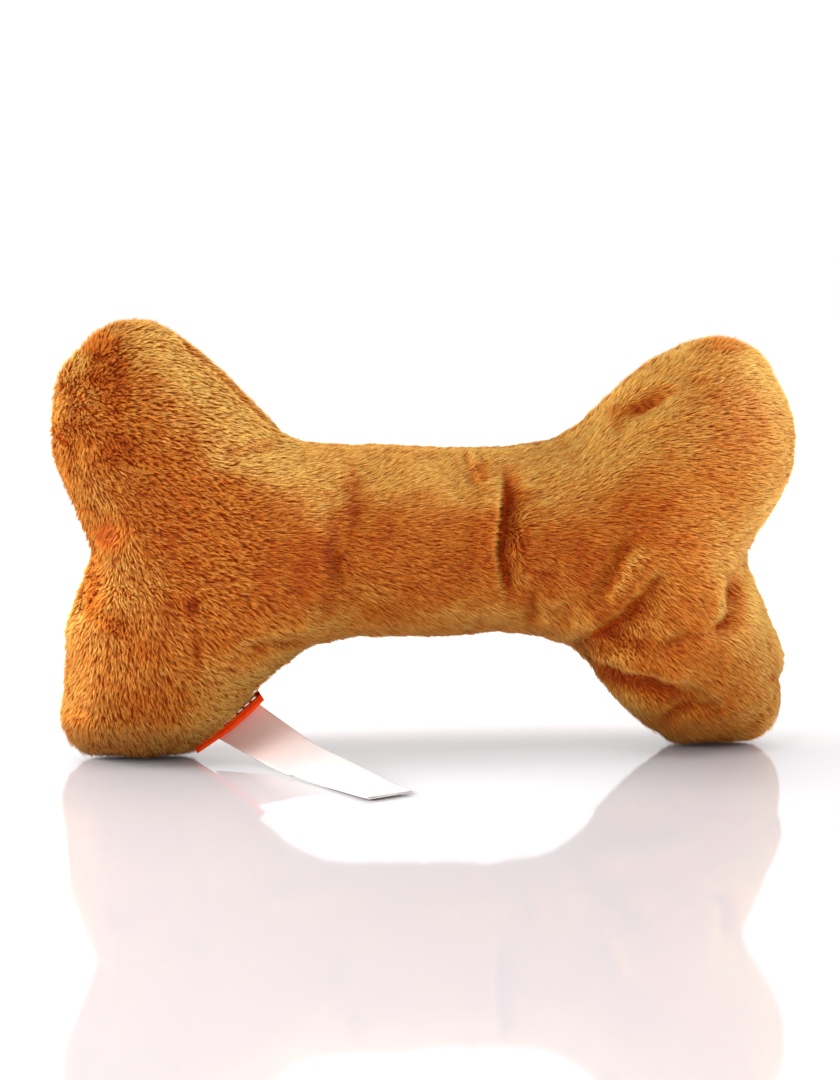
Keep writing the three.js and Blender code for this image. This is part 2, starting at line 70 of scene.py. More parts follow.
OUTLINE = [
    (-101.3, 153.1), (-92.1, 151.6), (-83.5, 145.6), (-70, 134), (-59.8, 123.6), (-49.5, 114.1),
    (-44.3, 111.5), (-37.4, 110), (-26.9, 109.6), (-9.5, 109.2), (8, 108.4), (25.6, 108.6),
    (36.1, 109.7), (43.2, 110.9), (50.9, 114.2), (57.2, 119.9), (69.5, 131), (78.2, 137.3),
    (88.8, 143.1), (101.1, 146.2), (110, 144.6), (117.2, 140.2), (122.2, 131.8), (126.0, 123.4),
    (128.5, 113), (128.6, 105.2), (127.1, 95.9), (123.6, 88.1), (118.4, 79.6), (114.2, 72.2),
    (113, 68.3), (114.7, 62.9), (118.9, 54.2), (122.6, 45.1), (126.4, 36), (127.3, 30.5),
    (126.6, 22.6), (127, 15.2), (125.4, 8.4), (120.2, 2.2), (111.5, -2.2), (100.5, -3.9),
    (91, -2.0), (81.4, 5.7), (74.6, 10.5), (65.1, 19.4), (57.6, 28.2), (52.2, 34.2), (46.3, 38.4),
    (38.3, 40.8), (25.9, 42.2), (8.1, 41.8), (-9.6, 41.5), (-27.2, 41.3), (-37, 39.7),
    (-45.5, 36.2), (-51.8, 31.7), (-56.8, 26.1), (-62.5, 19), (-70.3, 10.9), (-79.6, 2.6),
    (-87, -2.4), (-95.5, -4.9), (-104.5, -5.4), (-113, -3.2), (-120.8, 1.4), (-126.4, 7.4),
    (-128.8, 15.2), (-127.9, 24.1), (-127, 34.7), (-126, 48.1), (-123.1, 57.2), (-119.5, 66),
    (-117, 73.7), (-118.6, 78.2), (-123.2, 89.8), (-127.1, 99.2), (-129.7, 108.2), (-129.7, 122.1),
    (-128.2, 132.4), (-123.6, 139.5), (-116.7, 146.3), (-109.8, 151.4),
]

# folds on the front: path (x, z), depth, half width left and right of the path, lip left and right
FRONT_FOLDS = [
    ([(22.0, 107), (23.4, 103), (24.0, 97.6), (25.0, 91.9), (24.6, 86.7), (22.6, 81.4), (22.2, 76.7), (23.1, 71.2), (24.6, 64.8), (24.8, 58.9), (25.8, 51)], 5.4, 4.0, 2.4, 0.12, 0.26),
    ([(13.4, 111), (13.2, 105.5), (13.8, 102.5), (16.1, 97.6), (19.5, 92)], -0.8, 1.5, 1.7, 0.0, 0.0),
    ([(10.6, 110), (11.4, 104), (12.4, 100), (14.6, 94)], 0.6, 1.4, 2.6, 0.0, 0.1),
    ([(-46.5, 116), (-49.4, 112.6), (-57.4, 110.8), (-66.0, 109.2), (-72.5, 108.6), (-80, 109)], 1.5, 3.4, 3.0, 0.30, 0.20),
    ([(60, 115), (66, 118.6), (72.8, 122.6), (79.5, 126.6), (85, 130)], 1.5, 2.6, 3.0, 0.2, 0.2),
    ([(-34.6, 92), (-34.4, 77.5), (-32.8, 62)], 0.8, 3.2, 3.2, 0.30, 0.30),
    ([(-26.0, 103), (-26.6, 93.1), (-27.6, 82)], 0.7, 3.4, 3.4, 0.30, 0.25),
    ([(31.6, 66), (33.8, 56.5), (34.4, 44)], 1.2, 3.6, 3.6, 0.30, 0.25),
    ([(44.0, 34.0), (49.8, 39.8), (55.2, 44.0), (60.9, 47.3), (65.7, 52.4), (71.3, 61.2), (78.5, 70.9), (82, 75)], 4.4, 3.2, 7.4, 0.50, 0.12),
    ([(56.0, 52), (57.8, 57.6), (59.8, 65.6), (62.6, 73.6), (66.3, 82.2), (69, 88)], 2.6, 5.0, 5.0, 0.26, 0.36),
    ([(44.5, 41.0), (51.3, 36.6), (56.3, 34.2), (61.6, 33.2), (73.1, 29.7), (82.0, 27.0), (91.5, 25.1), (98, 24.6)], 7.6, 2.2, 5.4, 0.50, 0.04),
    ([(69.0, 41.2), (76.0, 43.6), (84.1, 45.9), (93, 47.4)], 1.6, 2.8, 3.8, 0.30, 0.20),
    ([(78.0, 9.5), (84.1, 16.9), (87.7, 19.2), (93.7, 19.8), (103, 17.5)], 2.7, 3.2, 3.4, 0.30, 0.22),
    ([(101.0, 70), (102.7, 62.8), (103.6, 56.5), (103.4, 51.8), (99.1, 48.4), (92.1, 46.5), (87, 46)], 2.8, 3.8, 3.2, 0.26, 0.42),
    ([(135, 22.0), (127.8, 24.7), (119, 27.8), (112, 30)], 1.0, 2.6, 2.6, 0.40, 0.30),
    ([(-74, 43), (-66.9, 43.2), (-56.7, 43.5), (-45.8, 42.3), (-38, 41)], 1.9, 2.6, 3.0, 0.14, 0.36),
]
# soft dents on the front: x, z, radius, depth
FRONT_DENTS = [
    (64.6, 116.4, 3.6, 1.3), (-81.6, 59.3, 3.0, 1.2), (16.4, 101.4, 2.4, 0.5), (-106.2, 109.6, 11, 1.0),
    (-95, 92, 13, 1.2), (96, 84, 15, 1.4), (-70, 88, 14, 0.8), (40, 92, 10, 0.7),
]
BACK_FOLDS = [
    ([(-26, 106), (-25, 92), (-27, 78), (-25, 62)], 3.8, 2.0, 5.0, 0.36, 0.12),
    ([(30, 101), (31, 86), (33, 70), (32, 48)], 2.2, 4.2, 4.2, 0.30, 0.25),
    ([(-51, 36), (-62, 47), (-72, 56)], 3.2, 3.4, 4.6, 0.45, 0.25),
    ([(54, 38), (66, 33), (80, 29)], 3.2, 2.6, 5.0, 0.45, 0.15),
    ([(56, 112), (66, 101), (72, 90)], 2.0, 4.2, 4.2, 0.30, 0.25),
    ([(-60, 118), (-70, 105), (-74, 94)], 1.8, 4.2, 4.2, 0.30, 0.25),
]
BACK_DENTS = [(-72, 124, 7, 1.6), (88, 60, 12, 1.3), (-90, 80, 14, 1.2), (4, 72, 12, 0.8)]
# where the seam swings towards the front: path (x, z), shift in y
SEAM_SWING = [
    ([(-90, 150), (-78.6, 140.2), (-68.4, 131.6), (-58.2, 122.2), (-49.6, 114.6)], -5.0, 11.0),
    ([(117, 140), (126.5, 124), (129.7, 109), (127, 94)], -4.4, 11.0),
]

# ------------------------------------------------------------------ helpers


def spline(points, count):
    """A closed centripetal Catmull-Rom line through points, at even spacing."""
    p = np.array(points, float)
    n = len(p)
    out = []
    for i in range(n):
        p0, p1, p2, p3 = p[i - 1], p[i], p[(i + 1) % n], p[(i + 2) % n]
        t1 = np.linalg.norm(p1 - p0) ** 0.5
        t2 = t1 + np.linalg.norm(p2 - p1) ** 0.5
        t3 = t2 + np.linalg.norm(p3 - p2) ** 0.5
        t = np.linspace(t1, t2, 9)[:-1, None]
        a1 = (t1 - t) / t1 * p0 + t / t1 * p1
        a2 = (t2 - t) / (t2 - t1) * p1 + (t - t1) / (t2 - t1) * p2
        a3 = (t3 - t) / (t3 - t2) * p2 + (t - t2) / (t3 - t2) * p3
        b1 = (t2 - t) / t2 * a1 + t / t2 * a2
        b2 = (t3 - t) / (t3 - t1) * a2 + (t - t1) / (t3 - t1) * a3
        out.append((t2 - t) / (t2 - t1) * b1 + (t - t1) / (t2 - t1) * b2)
    q = np.vstack(out)
    return even(np.vstack([q, q[:1]]), count, closed=True)


def even(line, count, closed=False):
    """Points at even spacing along a polyline of any dimension."""
    line = np.asarray(line, float)
    s = np.r_[0, np.cumsum(np.linalg.norm(np.diff(line, axis=0), axis=1))]
    t = np.linspace(0, s[-1], count, endpoint=not closed)
    return np.stack([np.interp(t, s, line[:, k]) for k in range(line.shape[1])], 1)


def smooth(a, b, v):
    t = np.clip((np.asarray(v, float) - a) / (b - a), 0, 1)
    return t * t * (3 - 2 * t)


def inset(poly, d):
    """A clockwise (x, z) outline moved inwards by d."""
    t = np.roll(poly, -1, 0) - np.roll(poly, 1, 0)
    t /= np.linalg.norm(t, axis=1)[:, None]
    return poly + d * np.stack([t[:, 1], -t[:, 0]], 1)


def inside(poly, pts):
    a, b = poly, np.roll(poly, -1, 0)
    x, z = pts[:, :1], pts[:, 1:]
    hit = ((a[:, 1] > z) != (b[:, 1] > z)) & (
        x < (b[:, 0] - a[:, 0]) * (z - a[:, 1]) / (b[:, 1] - a[:, 1] + 1e-12) + a[:, 0]
    )
    return hit.sum(1) % 2 == 1


def distance(line, pts, closed=True):
    """Distance to a polyline, place along it (mm), and which side (+ is left of its direction)."""
    a = np.asarray(line, float)
    b = np.roll(a, -1, 0)
    if not closed:
        a, b = a[:-1], b[:-1]
    u = b - a
    l = np.linalg.norm(u, axis=1)
    u = u / l[:, None]
    start = np.r_[0, np.cumsum(l)[:-1]]
    best = np.full(len(pts), 1e9)
    place = np.zeros(len(pts))
    side = np.zeros(len(pts))
    for k in range(len(a)):
        r = pts - a[k]
        s = np.clip(r @ u[k], 0, l[k])
        w = r - s[:, None] * u[k]
        d = np.hypot(w[:, 0], w[:, 1])
        c = u[k, 0] * r[:, 1] - u[k, 1] * r[:, 0]
        m = d < best
        best[m], place[m], side[m] = d[m], start[k] + s[m], np.sign(c[m])
    return best, place, side


def openness(poly, pts):
    """How far the outline is from each point, as a soft mean over all directions."""
    out = np.empty(len(pts))
    a = poly
    v = np.roll(poly, -1, 0) - a
    l = np.linalg.norm(v, axis=1)
    u = v / l[:, None]
    for lo in range(0, len(pts), 4000):
        p = pts[lo:lo + 4000]
        rx, rz = a[:, 0] - p[:, :1], a[:, 1] - p[:, 1:]
        h = -rx * u[:, 1] + rz * u[:, 0]
        h = np.where(np.abs(h) < 1e-7, 1e-7, h)
        sa = rx * u[:, 0] + rz * u[:, 1]
        sb = sa + l
        f = (sb / np.hypot(sb, h) - sa / np.hypot(sa, h)) / h
        out[lo:lo + 4000] = 2 / np.abs(f.sum(1))
    return out


def hashed(i, j, k, seed):
    """A repeatable random number from 0 to 1 for each lattice point."""
    h = (i.astype(np.int64) * 73856093) ^ (j.astype(np.int64) * 19349663) ^ (k.astype(np.int64) * 83492791)
    h = (h ^ (seed * 2654435761)) & 0xFFFFFFFF
    h = ((h ^ (h >> 15)) * 2246822519) & 0xFFFFFFFF
    h = ((h ^ (h >> 13)) * 3266489917) & 0xFFFFFFFF
    h = h ^ (h >> 16)
    return h / 4294967295.0


def noise(p, size, seed):
    """Smooth value noise from -1 to 1 over lumps of that size."""
    q = p / size
    b = np.floor(q).astype(np.int64)
    f = q - b
    f = f * f * (3 - 2 * f)
    out = 0.0
    for dx in (0, 1):
        for dy in (0, 1):
            for dz in (0, 1):
                w = (
                    (f[:, 0] if dx else 1 - f[:, 0])
                    * (f[:, 1] if dy else 1 - f[:, 1])
                    * (f[:, 2] if dz else 1 - f[:, 2])
                )
                out = out + w * hashed(b[:, 0] + dx, b[:, 1] + dy, b[:, 2] + dz, seed)
    return out * 2 - 1


def unit(v):
    return v / np.maximum(np.linalg.norm(v, axis=1), 1e-9)[:, None]


def mesh_from(name, verts, faces):
    """verts in millimetres, faces as an array of triangles or a list of loops."""
    me = bpy.data.meshes.new(name)
    if isinstance(faces, np.ndarray):
        n = len(faces)
        me.vertices.add(len(verts))
        me.vertices.foreach_set("co", (np.asarray(verts) * 0.001).astype(np.float32).ravel())
        me.loops.add(n * 3)
        me.loops.foreach_set("vertex_index", faces.astype(np.int32).ravel())
        me.polygons.add(n)
        me.polygons.foreach_set("loop_start", np.arange(0, 3 * n, 3, dtype=np.int32))
        me.update(calc_edges=True)
    else:
        me.from_pydata([tuple(v) for v in np.asarray(verts) * 0.001], [], [tuple(f) for f in faces])
        me.update()
    me.polygons.foreach_set("use_smooth", np.ones(len(me.polygons), bool))
    return me


def add(name, me, mat=None):
    ob = bpy.data.objects.new(name, me)
    scene.collection.objects.link(ob)
    if mat is not None:
        me.materials.append(mat)
    return ob


def applied(ob):
    """The object's mesh with its modifiers in it, and the modifiers gone."""
    dg = bpy.context.evaluated_depsgraph_get()
    me = bpy.data.meshes.new_from_object(ob.evaluated_get(dg))
    ob.modifiers.clear()
    old = ob.data
    ob.data = me
    bpy.data.meshes.remove(old)
    return ob


def coords(me):
    c = np.empty(len(me.vertices) * 3, np.float32)
    me.vertices.foreach_get("co", c)
    return c.reshape(-1, 3).astype(float) * 1000


def set_coords(me, c):
    me.vertices.foreach_set("co", (c * 0.001).astype(np.float32).ravel())
    me.update()


def normals(me):
    c = np.empty(len(me.vertices) * 3, np.float32)
    me.vertex_normals.foreach_get("vector", c)
    return c.reshape(-1, 3).astype(float)


# ------------------------------------------------------------------ materials


def material(name, rough=0.6, **sockets):
    mat = bpy.data.materials.new(name)
    mat.use_nodes = True
    nt = mat.node_tree
    bsdf = nt.nodes["Principled BSDF"]
    bsdf.inputs["Roughness"].default_value = rough
    for k, v in sockets.items():
        bsdf.inputs[k.replace("_", " ")].default_value = v
    return mat, nt, bsdf


def ramp(nt, stops, fac):
    r = nt.nodes.new("ShaderNodeValToRGB")
    e = r.color_ramp.elements
    while len(e) > 1:
        e.remove(e[-1])
    e[0].position, e[0].color = stops[0][0], (*stops[0][1], 1)
    for pos, col in stops[1:]:
        s = e.new(pos)
        s.color = (*col, 1)
    nt.links.new(fac, r.inputs["Fac"])
    return r.outputs["Color"]


def attribute(nt, name):
    a = nt.nodes.new("ShaderNodeAttribute")
    a.attribute_name = name
    return a


def mix(nt, fac, a, b, kind="MIX"):
    m = nt.nodes.new("ShaderNodeMix")
    m.data_type = "RGBA"
    m.blend_type = kind
    if isinstance(fac, float):
        m.inputs["Factor"].default_value = fac
    else:
        nt.links.new(fac, m.inputs["Factor"])
    for socket, v in (("A", a), ("B", b)):
        s = [i for i in m.inputs if i.name == socket and i.type == "RGBA"][0]
        if isinstance(v, tuple):
            s.default_value = (*v, 1)
        else:
            nt.links.new(v, s)
    return [o for o in m.outputs if o.type == "RGBA"][0]


def noise_node(nt, scale, detail=4, rough=0.6, vector=None):
    n = nt.nodes.new("ShaderNodeTexNoise")
    n.inputs["Scale"].default_value = scale
    n.inputs["Detail"].default_value = detail
    n.inputs["Roughness"].default_value = rough
    if vector is None:
        tc = nt.nodes.new("ShaderNodeTexCoord")
        vector = tc.outputs["Object"]
    nt.links.new(vector, n.inputs["Vector"])
    return n


def bump(nt, bsdf, height, strength, dist):
    b = nt.nodes.new("ShaderNodeBump")
    b.inputs["Strength"].default_value = strength
    b.inputs["Distance"].default_value = dist
    nt.links.new(height, b.inputs["Height"])
    nt.links.new(b.outputs["Normal"], bsdf.inputs["Normal"])
    return b


def wave(nt, vector, scale, direction="X", profile="SIN", distortion=0.0):
    w = nt.nodes.new("ShaderNodeTexWave")
    w.bands_direction = direction
    w.wave_profile = profile
    w.inputs["Scale"].default_value = scale
    w.inputs["Distortion"].default_value = distortion
    nt.links.new(vector, w.inputs["Vector"])
    return w


def roughness_range(nt, bsdf, fac, lo, hi):
    m = nt.nodes.new("ShaderNodeMapRange")
    m.inputs["To Min"].default_value = lo
    m.inputs["To Max"].default_value = hi
    nt.links.new(fac, m.inputs["Value"])
    nt.links.new(m.outputs["Result"], bsdf.inputs["Roughness"])


def mapped(nt, value, lo, hi):
    node = nt.nodes.new("ShaderNodeMapRange")
    node.inputs["From Min"].default_value = lo
    node.inputs["From Max"].default_value = hi
    nt.links.new(value, node.inputs["Value"])
    return node.outputs["Result"]


def pile_material():
    """Plush fibre, red-brown at the root and pale at the tip, the dark root partly painted shade and the pale tip
    partly painted highlight; 'pile_tone' runs from painted shade (0) through brushed up (0.3) to laid flat (1), its
    paler end partly painted light.
    """
    mat, nt, bsdf = material("plush_pile", 0.62)
    bsdf.inputs["Specular IOR Level"].default_value = 0.16
    t = attribute(nt, "pile_t").outputs["Fac"]
    tone = attribute(nt, "pile_tone").outputs["Fac"]
    # painted shade: the red ramp colours pile in folds and partings, near the table and on faces turned to the front
    red = ramp(nt, [(0.0, (0.10, 0.008, 0.0002)), (0.4, (0.48, 0.050, 0.0012)), (1.0, (0.95, 0.165, 0.008))], t)
    deep = ramp(nt, [(0.0, (0.15, 0.017, 0.0004)), (0.2, (0.43, 0.080, 0.0035)), (0.5, (0.69, 0.215, 0.016)), (1.0, (0.83, 0.385, 0.060))], t)
    laid = ramp(nt, [(0.0, (0.15, 0.015, 0.0003)), (0.14, (0.42, 0.090, 0.003)), (0.32, (0.71, 0.320, 0.038)), (0.6, (0.86, 0.580, 0.138)), (1.0, (0.94, 0.745, 0.275))], t)
    low, high = (nt.nodes.new("ShaderNodeMapRange") for _ in range(2))
    for node, a, b in ((low, 0.0, 0.3), (high, 0.3, 1.0)):
        node.inputs["From Min"].default_value = a
        node.inputs["From Max"].default_value = b
        nt.links.new(tone, node.inputs["Value"])
    col = mix(nt, high.outputs["Result"], mix(nt, low.outputs["Result"], red, deep), laid)
    nt.links.new(col, bsdf.inputs["Base Color"])
    roughness_range(nt, bsdf, t, 0.60, 0.36)
    return mat


def backing_material():
    mat, nt, bsdf = material("plush_backing", 0.9)
    bsdf.inputs["Specular IOR Level"].default_value = 0.02
    n = noise_node(nt, 900.0, 3)
    col = ramp(nt, [(0.3, (0.15, 0.015, 0.0006)), (0.7, (0.28, 0.036, 0.0018))], n.outputs["Fac"])
    nt.links.new(col, bsdf.inputs["Base Color"])
    tc = nt.nodes.new("ShaderNodeTexCoord")
    w = wave(nt, tc.outputs["Object"], 260.0, "X", "SIN", 1.2)
    bump(nt, bsdf, w.outputs["Fac"], 0.4, 0.0002)
    roughness_range(nt, bsdf, n.outputs["Fac"], 0.8, 0.95)
    return mat


def thread_material(name, dark, light):
    mat, nt, bsdf = material(name, 0.7, Sheen_Weight=0.2)
    n = noise_node(nt, 2600.0, 2)
    nt.links.new(ramp(nt, [(0.3, dark), (0.7, light)], n.outputs["Fac"]), bsdf.inputs["Base Color"])
    bump(nt, bsdf, n.outputs["Fac"], 0.5, 0.0001)
    roughness_range(nt, bsdf, n.outputs["Fac"], 0.6, 0.8)
    return mat


def woven_material():
    """Orange-red woven tape: fine ribs across, bundled warp along, a darker band along the sewn edge, partly its dark
    printed band and partly painted shade under the plush.
    """
    mat, nt, bsdf = material("woven_tape", 0.72)
    bsdf.inputs["Specular IOR Level"].default_value = 0.06
    uv = attribute(nt, "weave").outputs["Vector"]
    rib = wave(nt, uv, 1.05, "X")
    warp = wave(nt, uv, 1.6, "Y")
    both = nt.nodes.new("ShaderNodeMath")
    both.operation = "MULTIPLY"
    nt.links.new(rib.outputs["Fac"], both.inputs[0])
    nt.links.new(warp.outputs["Fac"], both.inputs[1])
    n = noise_node(nt, 700.0, 3)
    col = ramp(nt, [(0.0, (0.84, 0.034, 0.001)), (0.5, (0.96, 0.066, 0.002)), (1.0, (1.0, 0.105, 0.004))], both.outputs["Value"])
    col = mix(nt, 0.18, col, ramp(nt, [(0.35, (0.62, 0.02, 0.002)), (0.65, (0.95, 0.10, 0.01))], n.outputs["Fac"]))
    # a darker band beside the seam: partly the tape's dark printed band, partly painted shade from the plush over it
    place = nt.nodes.new("ShaderNodeSeparateXYZ")
    nt.links.new(uv, place.inputs[0])
    band = ramp(nt, [(0.0, (0.16, 0.010, 0.004)), (0.50, (0.22, 0.012, 0.004)), (0.58, (1.0, 1.0, 1.0))], mapped(nt, place.outputs["Y"], 0.0, 4.6))
    col = mix(nt, 1.0, col, band, "MULTIPLY")
    nt.links.new(col, bsdf.inputs["Base Color"])
    bump(nt, bsdf, both.outputs["Value"], 0.55, 0.00012)
    roughness_range(nt, bsdf, n.outputs["Fac"], 0.52, 0.7)
    return mat


def satin_material():
    """White satin: long shiny floats along the ribbon, a denser selvedge at each edge."""
    mat, nt, bsdf = material("satin_ribbon", 0.4, Sheen_Weight=0.1)
    bsdf.inputs["Subsurface Weight"].default_value = 0.0
    uv = attribute(nt, "weave").outputs["Vector"]
    warp = wave(nt, uv, 2.4, "X", "SIN", 0.35)
    weft = wave(nt, uv, 0.9, "Y", "SIN", 0.2)
    n = noise_node(nt, 500.0, 4)
    edge = attribute(nt, "selvedge").outputs["Fac"]
    base = ramp(nt, [(0.0, (0.405, 0.352, 0.338)), (1.0, (0.455, 0.408, 0.394))], warp.outputs["Fac"])
    base = mix(nt, 0.25, base, ramp(nt, [(0.3, (0.40, 0.355, 0.34)), (0.7, (0.50, 0.465, 0.45))], n.outputs["Fac"]))
    base = mix(nt, edge, base, (0.46, 0.42, 0.405))
    place = nt.nodes.new("ShaderNodeSeparateXYZ")
    nt.links.new(uv, place.inputs[0])
    # painted light: near the tab the ribbon is coloured paler and warmer, for the orange light the plush throws into
    # its shade
    base = mix(nt, mapped(nt, place.outputs["Y"], 38.0, 12.0), base, (0.80, 0.53, 0.455))
    nt.links.new(base, bsdf.inputs["Base Color"])
    h = nt.nodes.new("ShaderNodeMath")
    h.operation = "MULTIPLY_ADD"
    nt.links.new(weft.outputs["Fac"], h.inputs[0])
    h.inputs[1].default_value = 0.35
    nt.links.new(warp.outputs["Fac"], h.inputs[2])
    bump(nt, bsdf, h.outputs["Value"], 0.25, 0.00006)
    roughness_range(nt, bsdf, weft.outputs["Fac"], 0.34, 0.46)
    return mat


def filling_material():
    mat, nt, bsdf = material("fibre_filling", 0.9, Sheen_Weight=0.4)
    n = noise_node(nt, 420.0, 8, 0.75)
    nt.links.new(ramp(nt, [(0.3, (0.62, 0.60, 0.56)), (0.7, (0.90, 0.89, 0.86))], n.outputs["Fac"]), bsdf.inputs["Base Color"])
    bump(nt, bsdf, n.outputs["Fac"], 0.8, 0.0009)
    roughness_range(nt, bsdf, n.outputs["Fac"], 0.8, 1.0)
    return mat


def plastic_material(name, dark, light, rough, scale, **sockets):
    mat, nt, bsdf = material(name, rough, **sockets)
    n = noise_node(nt, scale, 4)
    nt.links.new(ramp(nt, [(0.3, dark), (0.7, light)], n.outputs["Fac"]), bsdf.inputs["Base Color"])
    bump(nt, bsdf, n.outputs["Fac"], 0.12, 0.00012)
    roughness_range(nt, bsdf, n.outputs["Fac"], rough - 0.06, rough + 0.08)
    return mat


def floor_material():
    """Polished white table, painted darker in front of and under the body and paler behind it and towards the far edge
    of the sweep: painted light, which lightens the body's shadow behind it and fades the table into the white room.
    """
    mat, nt, bsdf = material("white_table", 0.05)
    bsdf.inputs["IOR"].default_value = 1.9
    tc = nt.nodes.new("ShaderNodeTexCoord")
    far = nt.nodes.new("ShaderNodeSeparateXYZ")
    nt.links.new(tc.outputs["Object"], far.inputs[0])
    near = nt.nodes.new("ShaderNodeMapRange")
    near.inputs["From Min"].default_value = 0.0
    near.inputs["From Max"].default_value = 1.6
    nt.links.new(far.outputs["Y"], near.inputs["Value"])
    nt.links.new(ramp(nt, [(0.0, (0.384, 0.372, 0.384)), (0.06, (0.64, 0.615, 0.608)), (0.13, (0.74, 0.72, 0.715)), (0.5, (0.80, 0.80, 0.80)), (1.0, (0.93, 0.93, 0.93))], near.outputs["Result"]), bsdf.inputs["Base Color"])
    return mat


PILE = pile_material()
BACKING = backing_material()
SEAM_THREAD = thread_material("seam_thread", (0.22, 0.07, 0.012), (0.40, 0.15, 0.03))
WHITE_THREAD = thread_material("white_thread", (0.80, 0.78, 0.76), (0.93, 0.92, 0.90))
WOVEN = woven_material()
SATIN = satin_material()
FILLING = filling_material()
POLYTHENE = plastic_material("soft_polythene", (0.80, 0.80, 0.77), (0.88, 0.88, 0.86), 0.38, 90.0)
HARD = plastic_material("hard_plastic", (0.86, 0.86, 0.86), (0.93, 0.93, 0.93), 0.28, 140.0)
FILM = plastic_material("reed_film", (0.66, 0.73, 0.78), (0.76, 0.82, 0.86), 0.18, 220.0)

# ------------------------------------------------------------------ camera and light
TARGET = Vector((-0.0025, 0.0188, 0.0754))
AZIMUTH, ELEVATION, RANGE = math.radians(-5), math.radians(8), 0.900
cam = bpy.data.cameras.new("camera")
cam.lens = 85.6
cam.sensor_width = 36.0
cam.sensor_fit = "AUTO"
cam.clip_end = 50
eye = bpy.data.objects.new("camera", cam)
eye.location = TARGET + RANGE * Vector((
    math.sin(AZIMUTH) * math.cos(ELEVATION),
    -math.cos(AZIMUTH) * math.cos(ELEVATION),
    math.sin(ELEVATION),
))
eye.rotation_euler = (TARGET - eye.location).to_track_quat("-Z", "Y").to_euler()
scene.collection.objects.link(eye)
scene.camera = eye
scene.view_settings.view_transform = "Standard"


def softbox(name, place, aim, size, power, colour=(1, 1, 1)):
    l = bpy.data.lights.new(name, "AREA")
    l.shape = "RECTANGLE"
    l.size, l.size_y = size
    l.energy = power
    l.color = colour
    o = bpy.data.objects.new(name, l)
    o.location = place
    o.rotation_euler = (Vector(aim) - Vector(place)).to_track_quat("-Z", "Y").to_euler()
    o.visible_camera = False
    scene.collection.objects.link(o)
    return o


softbox("key", (-0.35, -0.55, 1.35), (0.0, 0.02, 0.08), (0.30, 0.25), 5.5)
softbox("top_softbox", (0.05, 0.05, 1.30), (0.0, 0.02, 0.08), (1.5, 1.2), 7.0)
softbox("right_softbox", (1.15, -0.10, 0.55), (0.03, 0.0, 0.08), (0.7, 0.7), 12.5)
softbox("left_softbox", (-1.15, -0.06, 0.42), (-0.05, 0.0, 0.08), (0.6, 0.6), 46.0)
low_front = softbox("low_fill", (0.10, -1.35, 0.13), (0.0, 0.0, 0.05), (1.0, 0.25), 6.5)
low_front.visible_glossy = False
# light the white table throws up under the body
for tag, y, power in (("front", -0.24, 1.7), ("back", 0.26, 0.9)):
    card = softbox("table_bounce_" + tag, (0.0, y, 0.0012), (0.0, y, 1.0), (0.60, 0.36), power)
    card.visible_glossy = False
low_back = softbox("back_softbox", (0.0, 1.30, 0.50), (0.0, 0.0, 0.03), (2.0, 0.6), 28.0)
low_back.visible_glossy = False

world = bpy.data.worlds.new("studio")
scene.world = world
world.use_nodes = True
bg = world.node_tree.nodes["Background"]
sky = world.node_tree.nodes.new("ShaderNodeTexCoord")
turn = world.node_tree.nodes.new("ShaderNodeSeparateXYZ")
world.node_tree.links.new(sky.outputs["Generated"], turn.inputs[0])
level = world.node_tree.nodes.new("ShaderNodeMapRange")     # the room is dimmer in front of the table
level.interpolation_type = "SMOOTHSTEP"
level.inputs["From Min"].default_value = -0.9
level.inputs["From Max"].default_value = 0.1
level.inputs["To Min"].default_value = 0.48
level.inputs["To Max"].default_value = 1.06
world.node_tree.links.new(turn.outputs["Y"], level.inputs["Value"])
bg.inputs["Color"].default_value = (1, 1, 1, 1)
world.node_tree.links.new(level.outputs["Result"], bg.inputs["Strength"])

ground = mesh_from("table", np.array([(x, y, 0) for y in (-30000, -600, 0, 600, 30000) for x in (-30000, -600, 0, 600, 30000)], float),
                   [(5 * j + i, 5 * j + i + 1, 5 * j + i + 6, 5 * j + i + 5) for j in range(4) for i in range(4)])
add("table", ground, floor_material())

# ------------------------------------------------------------------ the stuffed bone
CAD_EDGE = spline(OUTLINE, 400)
low_z = CAD_EDGE[:, 1].copy()
CAD_EDGE[:, 1] = np.where(low_z < 0, 0.3 * low_z, low_z)
# the plush is drawn in where the tab is sewn to it
at_tab = 1 - smooth(0, 9, distance(np.array([(-78.5, 4.8), (-57.0, 22.0)]), CAD_EDGE, closed=False)[0])
CAD_EDGE = CAD_EDGE + (inset(CAD_EDGE, 1.5) - CAD_EDGE) * at_tab[:, None]
EDGE = even(np.vstack([inset(CAD_EDGE, SKIN_INSET), inset(CAD_EDGE, SKIN_INSET)[:1]]), 360, closed=True)
K = SKIN_HALF / math.sqrt(openness(EDGE, np.array([[0.0, 75.4]]))[0])


def swell(x):
    return 1 + LOBE_SWELL * smooth(SHANK_END, LOBE_FULL, np.abs(x))


def crown(poly, pts):
    """Height of the pillow over its seam plane."""
    return K * swell(pts[:, 0]) * np.sqrt(openness(poly, pts))


